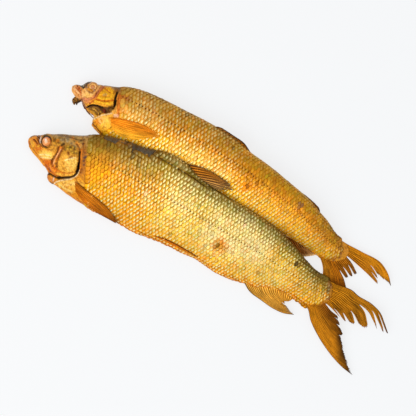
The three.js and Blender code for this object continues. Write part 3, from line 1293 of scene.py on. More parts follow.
def front_fish() -> Fish:
    """Set out the larger fish, in front.

    Returns:
        The fish, ready to make.
    """
    shape = Shape(
        back_edge=(
            (0, 2), (0.7, 4.2), (2, 6.2), (5, 8.5), (9, 10.9), (13, 14.4), (16, 15.9), (20, 18.2),
            (27, 22.4), (35, 26), (45, 31), (60, 40), (70, 44), (90, 49.5), (105, 52), (120, 57),
            (133, 59.7), (150, 59), (160, 56), (175, 52.5), (200, 50.5), (230, 50), (260, 47), (280, 42),
            (300, 35), (320, 29.5), (330, 29.4), (336, 26), (341, 19),
        ),
        belly_edge=(
            (0, 1), (0.7, -1), (2.2, -3), (4.2, -4.7), (6.3, -6.1), (10.5, -8.2), (18, -10.7),
            (25.5, -13.9), (31, -16.4), (33.4, -18.6), (34.5, -21.5), (37, -24.4), (41, -26), (45, -25.7),
            (60, -27.5), (85, -28.5), (110, -26.5), (140, -25.8), (160, -22.5), (190, -20), (205, -18.5),
            (228, -20.5), (250, -17.7), (260, -15), (270, -13), (280, -8), (290, -5), (300, -3.5),
            (315, -4.2), (327, -4.8), (335, -1), (341, 6),
        ),
        girth=(
            (0, 12, 0.4, 0), (5, 12.5, 6, 0.5), (14, 13, 9.5, 1), (25, 14, 11.5, 2), (35, 14.5, 13, 3),
            (50, 15.5, 15, 5), (70, 16.5, 17.5, 7), (90, 17, 18.5, 8), (120, 17, 19, 9), (145, 17, 19, 9),
            (170, 16.5, 18.5, 8.5), (200, 15.5, 17.5, 8), (230, 14.5, 16, 7), (258, 13.5, 14, 6),
            (280, 12.5, 11.5, 5), (300, 11.3, 8.6, 4), (315, 10.2, 5.4, 3), (326, 9.6, 2.6, 2),
            (334, 9.4, 1.1, 1), (341, 9.3, 0.3, 0.5),
        ),
    )
    tones = Tones(
        (
            (-1.0, (204, 116, 16)), (-0.8, (226, 138, 24)), (-0.45, (234, 152, 34)), (0.0, (226, 150, 40)),
            (0.3, (204, 136, 38)), (0.55, (168, 116, 36)), (0.8, (132, 98, 38)), (1.0, (96, 76, 40)),
        )
    )
    scale_tones = Tones(
        (
            (-1.0, (238, 152, 6)), (-0.8, (250, 174, 12)), (-0.45, (252, 181, 22)), (0.0, (244, 173, 32)),
            (0.3, (214, 160, 36)), (0.55, (178, 138, 38)), (0.8, (146, 118, 40)), (1.0, (114, 96, 46)),
        )
    )
    burn = (
        (56, 44), (60, 40.5), (66, 38.5), (72, 37), (76, 39), (80, 41.5), (85, 44), (90, 46), (94, 43),
        (96, 38), (98.5, 38), (100, 43), (106, 45), (112, 44.5), (117, 46.5), (119, 52), (116, 58), (80, 54),
    )
    crease = ((122, 50), (138, 49), (152, 49.4), (176, 49), (192, 49.5))
    marks = (
        # The shoulder and back, darker and olive.
        area((156, 116, 40), 0.6, 10.0, (60, 22), (80, 20), (108, 28), (124, 36), (128, 60), (60, 50)),
        area((196, 118, 20), 0.5, 9.0, (62, 10), (100, 10), (136, 14), (136, 34), (100, 34), (64, 26)),
        area((240, 154, 12), 0.6, 12.0, (58, -28), (134, -26), (140, 4), (124, 20), (66, 16)),
        area((166, 122, 40), 0.35, 8.0, (60, 22), (124, 24), (136, 36), (134, 50), (60, 44)),
        # Paler golden and cream patches over the middle of the flank, with paler spots among them, are
        # painted sheen where the flank faces the light.
        area((255, 218, 104), 0.5, 12.0, (146, -12), (200, -12), (292, -8), (294, 20), (240, 26),
             (150, 28)),
        area((255, 238, 186), 0.6, 9.0, (196, 34), (232, 38), (262, 32), (262, 10), (206, -4), (196, 8),
             mottle=0.4),
        *spot((255, 246, 222), 0.4, 6.0, (226, 40), (245, 24), (232, 38), mottle=0.6),
        *spot((250, 226, 190), 0.4, 4.0, (131, 11), (133, 4), (168, 45), mottle=0.6),
        area((255, 236, 180), 0.35, 7.0, (148, 32), (166, 34), (178, 26), (170, 10), (150, 14), mottle=0.5),
        area((180, 156, 74), 0.75, 6.0, (134, 38), (150, 50), (176, 52), (200, 51), (240, 49), (268, 42),
             (262, 34), (200, 35)),
        area((226, 186, 84), 0.5, 8.0, (150, 24), (170, 36), (250, 36), (262, 24), (240, 14), (190, 14)),
        area((86, 82, 72), 0.92, 1.4, *burn),
        area((60, 58, 56), 0.7, 1.2, (70, 42), (78, 43), (84, 46), (86, 50), (76, 47), mottle=0.6),
        area((66, 70, 72), 0.7, 1.4, (94, 47), (104, 47.5), (112, 50), (116, 54), (106, 52), (96, 51),
             mottle=0.6),
        *spot((206, 150, 56), 0.8, 1.3, (81.5, 44.6), (84, 46.4), (105, 44.8), (111, 46), lift=0.3),
        *spot((52, 38, 24), 0.7, 1.6, (89, 48.4), (97, 38.4), (71, 37.6), (116, 50)),
        # A paler strip along the raised back, painted as highlight, and the crease below it, painted darker
        # as shade.
        area((206, 180, 100), 0.6, 1.6, (124, 51.5), (135, 51), (153, 50.5), (151, 58), (132, 58.6),
             (124, 55.5), mottle=0.4),
        line((84, 66, 26), 0.75, 0.7, *crease,
             (204, 48.6), soft=1.2, lift=-0.5),
        # The head's top, grey and mottled.
        area((216, 164, 88), 0.7, 2.5, (16, 15), (24, 15), (34, 15.5), (50, 17), (56, 24), (52, 38),
             (35, 28), (20, 19), mottle=0.5),
        area((160, 146, 112), 0.6, 1.4, (24, 16), (30, 15.5), (36, 17.5), (37, 21), (31, 21.5), (26, 19.5),
             mottle=0.8),
        *spot((196, 176, 136), 0.55, 0.9, (32.6, 19.8), (29.4, 17), (35.4, 18.4)),
        *spot((96, 88, 78), 0.6, 1.6, (30.6, 18), (40, 18.4), (44, 17.6), (34, 21.6), mottle=0.5),
        *spot((226, 132, 30), 0.75, 1.7, (44.6, 21.6), (47.4, 20.8), (38.4, 24), (26.6, 14.4), (49, 17.4)),
        *spot((58, 34, 24), 0.7, 1.1, (49, 28.4), (46.4, 26), (43, 30), (46, 31.4), (51.4, 24.6),
              (41.4, 22.4)),
        line((92, 58, 22), 0.6, 0.3, (24, 19.5), (32, 22.8), (41, 24.4), (49, 27.4), lift=-0.3),
        line((196, 128, 38), 0.6, 0.4, (38, 22.8), (43, 23.4), (48, 22.8), (52, 24.6), lift=0.3),
        # The snout, nostril and the creases before the eye.
        area((232, 138, 38), 0.75, 2.0, (0, 1), (4, 8), (11, 12), (12, 4), (8, -2), (3, -4)),
        area((236, 176, 52), 0.7, 1.2, (2.6, 1.6), (5.6, 1.4), (8.4, -0.6), (6.6, -3), (3.8, -2.4)),
        line((60, 26, 18), 0.9, 0.35, (6, 8.6), (7.6, 7.6), (9.4, 7.4), lift=-0.6),
        line((76, 36, 26), 0.85, 0.35, (8.6, 9.8), (9.2, 7.4), (10, 5.2), (11.4, 3.2), soft=0.8, lift=-0.6),
        line((228, 206, 186), 0.8, 0.4, (10.4, 8.6), (11, 6), (12.4, 4), soft=0.7, lift=0.4),
        line((96, 26, 6), 0.9, 0.4, (4.8, 3.4), (8, 2.6), (11, 1.2), (13.6, 0.8), lift=-0.8),
        line((110, 40, 10), 0.85, 0.3, (7.5, 6), (10, 4), (13, 2.2), (17, 1.2), soft=0.8, lift=-0.5),
        area((196, 78, 8), 0.8, 1.4, (9, 1.6), (13, 1.2), (18, -0.2), (17, -3.4), (13, -5.2), (10, -3),
             mottle=0.4),
        *spot((238, 168, 40), 0.7, 1.3, (8.4, -2.8), (12.4, 0), (16.6, -3.8)),
        line((140, 54, 10), 0.75, 0.25, (2, -1), (6, -4.4), (11, -6.4), (16, -8.6), soft=0.8, lift=-0.5),
        line((238, 160, 36), 0.6, 0.9, (5, -4.6), (10, -7.8), (18, -10.6), (26, -13.4), soft=1.0, lift=0.5),
        # The eye's dark ring, darkest on its lower, left and upper sides: partly the skin's own colour and
        # partly painted shade in the socket.
        line((44, 20, 14), 0.9, 0.45, (12.9, 11), (12.5, 8), (13, 5.2), (15.2, 3.2), (18.4, 2.4),
             (20.6, 2.8), lift=-0.9),
        line((60, 40, 30), 0.9, 0.3, (12.9, 12), (15.5, 13.2), (18.6, 13.2), (20.8, 11.4), lift=-0.5),
        line((150, 94, 34), 0.7, 0.35, (20.8, 11.4), (22.4, 7.5), (22, 4.4), soft=1.0, lift=-0.5),
        line((222, 148, 56), 0.5, 0.5, (13.4, 15), (18, 15.4), (22.4, 13), (24, 8.6), soft=1.0, lift=0.4),
        # The cheek.
        area((248, 198, 86), 0.8, 2.4, (18, -2), (22, 0), (27, 1.4), (31, 0), (31, -6), (25, -9), (17, -7),
             lift=0.5),
        line((252, 224, 150), 0.6, 0.3, (18, -6.6), (22, -4), (27, -2.4), soft=0.8),
        line((250, 218, 140), 0.6, 0.3, (20, -8.4), (25, -6), (30, -4.4), soft=0.8),
        area((176, 116, 24), 0.65, 2.0, (22, 13), (31, 13), (31.4, 4), (27, 2), (23, 3.4), mottle=0.7),
        *spot((232, 160, 44), 0.65, 1.3, (25, 10.6), (28.6, 7), (24.6, 5.4), (29.6, 11.4)),
        *spot((110, 62, 18), 0.6, 1.0, (26.4, 8.6), (23.6, 12), (29, 13.2), (25.6, 3)),
        area((222, 98, 6), 0.85, 2.2, (22, -9), (31, -5), (36, -9), (44, -13), (42, -17.5), (34, -16.5),
             (27, -13)),
        # The grooves before the gill cover, and the ridge between them.
        area((226, 116, 20), 0.8, 0.8, (31, 11), (33.6, 12.4), (35, 9), (34.8, 2), (35.6, -4), (33.4, -5),
             (32.6, 2), (31.8, 7), lift=0.7),
        line((98, 40, 8), 0.85, 0.45, (30.8, 9), (32, 4.6), (31.8, -1), (31.4, -5.6), (32.4, -9), soft=0.8,
             lift=-0.8),
        line((244, 176, 116), 0.7, 0.3, (34.2, 8.6), (34, 3), (33.8, -3), (34.4, -8), soft=0.7, lift=0.4),
        line((128, 58, 12), 0.8, 0.4, (35.2, 12), (35.2, 6), (35.8, 0), (37, -5), (39, -8.6), lift=-0.7),
        *spot((52, 30, 12), 0.85, 1.4, (32.6, 12.6), (33.4, 14.6), lift=-0.4),
        *spot((110, 44, 8), 0.7, 1.3, (31, -5.6), (36.4, -6.4), (34.8, -10), (38.4, -9.4)),
        line((250, 160, 36), 0.6, 0.6, (32, -10.6), (36, -13), (42, -15), (48, -13.4), soft=1.2, lift=0.5),
        line((150, 64, 6), 0.7, 0.4, (28, -13), (34, -15.4), (41, -17), (46, -15.6), soft=1.0, lift=-0.4),
        # The gill cover.
        area((240, 174, 60), 0.85, 2.0, (38, 7), (44, 9.6), (50, 10), (55, 5), (57, -2), (54.6, -7.6),
             (48, -10), (41, -9.5), (37.6, -3), lift=1.1),
        area((250, 204, 96), 0.7, 1.4, (42.6, 1.6), (48, 6.6), (52, 9.6), (54.6, 5), (56, -1), (53.6, -5),
             (47, -5.6), mottle=0.4),
        # A pale streak of painted sheen across the gill cover.
        line((255, 232, 160), 0.65, 0.25, (43, 1.6), (46.4, 5), (50.6, 8.6), soft=0.8),
        line((226, 150, 36), 0.6, 0.35, (40, 0), (44, -4), (50, -7)),
        line((220, 140, 40), 0.5, 0.3, (44, 0), (49, -2.4), (54.6, -4), soft=0.8),
        area((122, 92, 10), 0.85, 1.8, (36, 12), (40, 17), (47, 18), (51.4, 14.6), (52, 10.6), (47, 11),
             (41, 10.6), mottle=0.6),
        *spot((222, 170, 44), 0.65, 0.9, (39.6, 12), (42.6, 13.4), (45.4, 11.4), (47.8, 14), (43, 16),
              (38.4, 14.6)),
        *spot((70, 52, 8), 0.6, 1.2, (49.4, 12.8), (41, 15), (45.4, 15.4), (37.6, 10.6)),
        *spot((124, 50, 18), 0.7, 1.3, (43.4, 8), (45.6, 6.4), (47.2, 7.6), (42, 9)),
        *spot((224, 150, 40), 0.5, 1.5, (39.6, 6), (42, 3.6), (39.4, 2)),
        line((190, 92, 8), 0.75, 0.35, (38, -11), (45, -11.4), (52, -9), (56, -5), lift=-0.5),
        line((246, 180, 62), 0.65, 0.8, (42, -14), (48, -12.8), (54.6, -9), (57, -6), lift=0.4),
        # The shoulder behind the slit.
        area((160, 84, 14), 0.85, 2.6, (50, 27), (57, 20), (63, 10), (66, 0), (64, -6), (60, -1), (57, 8),
             (51, 18)),
        area((196, 112, 24), 0.5, 3.0, (62, 20), (68, 12), (70, 2), (70, -8), (63, -4), (64, 8)),
        line((226, 120, 20), 0.7, 0.6, (52, 18), (55.4, 11), (58.6, 4), (61, -1), soft=1.0, lift=0.5),
        *spot((62, 32, 44), 0.85, 1.5, (59.6, 14.4), (58.6, 13)),
        *spot((74, 34, 36), 0.8, 1.2, (59.4, 9.8), (61.6, 6.6), (50.4, 24), (62, 15.4)),
        *spot((120, 56, 26), 0.6, 1.1, (62.6, -1.6), (66, 20), (56.6, 17.4), (64.6, 4)),
        # The breast, with its pale cut edge.
        area((252, 190, 72), 0.8, 2.5, (47, -20), (52, -15), (60, -11), (72, -9), (72, -15), (63, -25),
             (47, -26)),
        area((206, 112, 18), 0.5, 1.8, (52, -20), (58, -17), (64, -19), (66, -24), (56, -25), mottle=0.8),
        area((255, 224, 140), 0.45, 1.4, (50, -17), (57, -14), (66, -12), (62, -17), (54, -22), mottle=0.9),
        line((250, 214, 120), 0.5, 0.5, (48, -22.6), (56, -23.6), (64, -23), soft=1.0),
        # A dark line along the pectoral fin's upper edge: painted shade where the fin's edge meets the body.
        line((150, 70, 12), 0.7, 0.3, (60, -9), (64, -11.6), (68, -13.4), (74, -14), lift=-0.4),
        area((226, 140, 66), 0.7, 1.4, (36, -21), (43, -20), (44.6, -24), (40, -25)),
        *spot((80, 40, 18), 0.85, 1.2, (43.4, -25.4), (41, -26), (35, -19.4)),
        line((238, 216, 190), 0.6, 0.3, (41.6, -20.4), (42.4, -23), soft=0.7),
        line((250, 226, 176), 0.75, 0.22, (44.6, -24.6), (46, -21.4), (51, -16.8), (57.6, -11.8),
             (60.6, -6), (60.4, 0), soft=0.7, lift=0.4),
        # The gill slit itself, wider where the cover stands off. Its near-black lines and spots are painted
        # shade in the gap under the cover's edge.
        line((96, 48, 16), 0.8, 0.4, (45, 21), (49.5, 18.6), (51.6, 15.5), lift=-0.6),
        line((30, 9, 5), 1.0, 0.55, (51.6, 15.5), (53.4, 11.6), (55.2, 8), (57.2, 4), (59, -0.4),
             (59.4, -4.4), (58, -8.6), (54.4, -12.6), (49.4, -16), (45, -18.6), (40, -18.9), (34.4, -18.6),
             soft=0.7, lift=-2.2),
        line((40, 12, 4), 1.0, 0.6, (56, 5.6), (57.8, 1), (58.2, -3.6), soft=0.8, lift=-1.0),
        line((48, 14, 4), 0.9, 0.6, (54, -12), (49, -15.4), (45, -17.6), lift=-0.8),
        *spot((20, 8, 6), 0.9, 1.5, (46, -18), (57.4, 2)),
        # Bruises and stains.
        *spot((236, 142, 12), 0.85, 8.0, (218, 4)),
        *spot((150, 92, 16), 0.75, 2.8, (216.4, 5), (214.6, 3)),
        *spot((112, 92, 26), 0.7, 1.5, (216.2, 5.4)),
        *spot((44, 26, 14), 0.95, 1.7, (294, 27)),
        *spot((112, 60, 14), 0.7, 1.4, (250, 8), (186, 20), (265, 1), (150, 30), (232, 40)),
        # The tail's root, where the scales give way to rays.
        area((186, 118, 26), 0.8, 4.0, (330, 31), (334, 22), (337, 10), (331, 0), (326, -8), (345, -8),
             (345, 31)),
        area((176, 132, 60), 0.4, 5.0, (300, 24), (318, 26), (332, 24), (336, 12), (328, 2), (312, 0),
             (300, 6), mottle=0.8),
        line((130, 84, 60), 0.65, 1.6, (333, 27), (337.4, 19), (339.4, 11), (337.6, 4), (332, -2),
             soft=2.2, mottle=0.9),
        line((108, 64, 44), 0.4, 0.4, (330, 25), (334, 20), (337, 14), soft=1.4, mottle=0.9),
    )
    tail_up = 9.2
    fins = (
        Fin(
            "upper_tail", rays=17, seed=4,
            root=((322, 27.6, 10), (330, 19, 9.6), (333, 8, 9.2)),
            margin=((409, 12.5, 4.6), (403, 11.8, 4.8), (395, 11, 5.2), (386.5, 6.6, 5.6), (374, 3.5, 6.2),
                    (367, 1.6, 6.8), (357, 3, 7.6)),
            lead=((331, 29.3, tail_up + 0.4), (341, 29.8, tail_up + 0.3), (350, 31.6, tail_up),
                  (356, 32, tail_up), (364, 30.4, 8.6), (380, 30, 8), (392, 26.5, 7), (401, 19.5, 5.6)),
            trail=((340, 7.4, 9.6), (347, 6, 9)),
            tears=(Tear(0.056, 0.76, 0.035), Tear(0.17, 0.73, 0.1), Tear(0.31, 0.6, 0.15),
                   Tear(0.6, 0.68, 0.08), Tear(0.78, 0.72, 0.06), Tear(0.92, 0.56, 0.07)),
            tip_colour=(120, 72, 22), tip_from=0.93, ray_colour=(228, 150, 26), web_colour=(112, 58, 4),
            far_ray_colour=(214, 136, 18), far_web_colour=(92, 44, 4),
        ),
        Fin(
            "lower_tail", rays=18, seed=5,
            root=((318, -3.4, 9.6), (328, 0, 9.4), (333, 8, 9.2)),
            margin=((399, -41.5, 3), (392, -37.4, 3.6), (385, -30.6, 4.4), (378, -24, 5),
                    (373, -16.5, 5.6), (369, -10.5, 6.4), (363, -5, 7.2), (360, -1.4, 8), (356, 2.4, 8.6)),
            lead=((326, -6, 9.6), (335, -15, 8.8), (348, -24, 7.8), (362, -31.4, 6.6), (376, -37, 5.4),
                  (388, -40.2, 4)),
            trail=((340, 6.6, 9.6), (348, 3.6, 9.2)),
            tears=(Tear(0.64, 0.94, 0.008), Tear(0.82, 0.9, 0.014), Tear(0.93, 0.82, 0.02)),
            tip_colour=(60, 32, 8), tip_from=0.76, ragged=0.022, ray_colour=(232, 154, 28),
            web_colour=(164, 92, 10), far_ray_colour=(150, 84, 10), far_web_colour=(78, 38, 4),
        ),
        Fin(
            "dorsal_fin", rays=9, seed=6,
            root=((149, 58.6, 31), (166, 53.5, 33), (184, 51, 33)),
            margin=((172, 63.8, 34.4), (184, 63.8, 34.2), (196, 62.4, 33.8), (202, 59.6, 33.6),
                    (197, 55.4, 33.2), (191, 52.2, 33)),
            lead=((160, 62, 33.4),),
            trail=((188, 51.5, 33),),
            ray_colour=(206, 126, 32), web_colour=(90, 46, 8), far_ray_colour=(206, 158, 84),
            far_web_colour=(62, 34, 34), tip_colour=(72, 52, 40), tip_from=0.84, ragged=0.07, ridge=0.4,
            edge_colour=(92, 78, 66),
            tears=(Tear(0.66, 0.6, 0.06), Tear(0.78, 0.5, 0.05), Tear(0.9, 0.5, 0.06)),
        ),
        Fin(
            "anal_fin", rays=22, seed=7,
            root=((254, -12.5, 9.5), (270, -9.6, 9.4), (284, -4.6, 9.4), (298, -2, 9.2), (309, -3, 9)),
            margin=((318, -18.5, 4.6), (312, -17, 5.2), (306, -13.6, 6), (303, -12, 6.6),
                    (306.5, -9.6, 7.8)),
            lead=((268, -20.6, 7), (282, -22.4, 6.2), (297, -23.6, 5.6), (309, -22.2, 5)),
            trail=((308.4, -6.5, 8.4),),
            ray_colour=(250, 190, 74), web_colour=(170, 104, 26), far_ray_colour=(246, 178, 58),
            far_web_colour=(150, 84, 14), tip_colour=(140, 116, 90), tip_from=0.86,
            tears=(Tear(0.62, 0.72, 0.08),), ridge=0.3,
        ),
        Fin(
            "pelvic_fin", rays=7, seed=8,
            root=((156, -20.4, 12), (158, -19.4, 14), (160, -18.6, 15.5)),
            margin=((205, -17.2, 10), (205.5, -16.6, 10.4), (201, -15.9, 11.4)),
            lead=((167, -19.6, 11), (185, -18.4, 10.5)),
            trail=((172, -16.5, 14), (188, -15.8, 12.6)),
            ray_colour=(226, 130, 20), web_colour=(170, 84, 10), far_ray_colour=(110, 50, 8),
            far_web_colour=(66, 26, 4), tip_colour=(110, 56, 12), lies_over=1.1,
        ),
        Fin(
            "left_pectoral_fin", rays=9, seed=9,
            root=((62, -12.5, 22), (64, -16, 21), (67, -20.5, 18)),
            margin=((119, -26.4, 15), (117, -28, 13.4), (112, -28.4, 12)),
            lead=((80, -14.6, 24), (100, -18.4, 22)),
            trail=((76, -25, 16.4), (95, -28.4, 13)),
            ray_colour=(220, 132, 24), web_colour=(168, 86, 8), far_ray_colour=(206, 116, 16),
            far_web_colour=(140, 66, 6), tip_colour=(120, 64, 12), tip_from=0.7, edge_colour=(90, 42, 6),
            ridge=0.3, thickness=0.8, lies_over=1.1,
        ),
    )
    return Fish(
        name="front",
        node="front_fish",
        shape=shape,
        tones=tones,
        coat=Coat(
            tones=scale_tones,
            starts_at=((84, -30), (80, -22), (73, -12), (68, -4), (65, 6), (62, 16), (57, 24), (52, 31),
                       (50, 40)),
            ends_at=((326, -6), (331, 0), (335.6, 6), (338.6, 12), (338, 18), (334.4, 24), (330, 29),
                     (327, 31)),
            lateral_line=((60, 18), (100, 20.5), (200, 19.5), (260, 18), (300, 16), (340, 14)),
        ),
        marks=marks,
        bare=(
            area(NO_COLOUR, 0.97, 1.2, *burn),
            line(NO_COLOUR, 0.9, 0.5, *crease, soft=0.6),
        ),
        eye=Eye(
            centre=(17.4, 7.9),
            radius=4.8,
            rings=((0.0, (255, 226, 200)), (0.26, (252, 196, 140)), (0.5, (236, 134, 58)),
                   (0.7, (246, 168, 92)), (0.88, (214, 104, 34)), (1.0, (110, 54, 20))),
            painted_glint=(-0.3, 0.3),
            far_colour=(150, 92, 44),
        ),
        fins=fins,
        seed=21,
        # Marks that raise or lower the scales' painted highlight.
        painted_highlight_marks=(
            area(NO_COLOUR, 0.25, 14.0, (136, 4), (170, 2), (230, 2), (262, 8), (262, 36), (220, 44),
                 (170, 42), (140, 34)),
            area(NO_COLOUR, -0.5, 12.0, (58, 14), (84, 6), (112, 12), (128, 26), (130, 44), (60, 40)),
            area(NO_COLOUR, -0.35, 6.0, (56, -10), (80, -10), (84, 40), (50, 40)),
            area(NO_COLOUR, -0.45, 5.0, (318, -6), (342, -6), (342, 32), (318, 32)),
            area(NO_COLOUR, -0.45, 8.0, (62, -12), (92, -12), (110, 4), (84, 16), (60, 16)),
            area(NO_COLOUR, 0.6, 2.0, (123, 51), (135, 51.5), (152, 51), (150, 59), (130, 59)),
            area(NO_COLOUR, 0.4, 4.0, (140, 40), (176, 50), (240, 48), (262, 42), (240, 36), (160, 34)),
            *spot(NO_COLOUR, 0.35, 8.0, (226, 36), (244, 22), (150, 32)),
            *spot(NO_COLOUR, -0.6, 7.0, (218, 5)),
            *spot(NO_COLOUR, -0.9, 3.0, (216.2, 5)),
            *spot(NO_COLOUR, -0.7, 2.0, (294, 27), (250, 8), (186, 20), (265, 1), (150, 30)),
        ),
    )


# ---------------------------------------------------------------------------------------------------------
# The smaller fish
# ---------------------------------------------------------------------------------------------------------


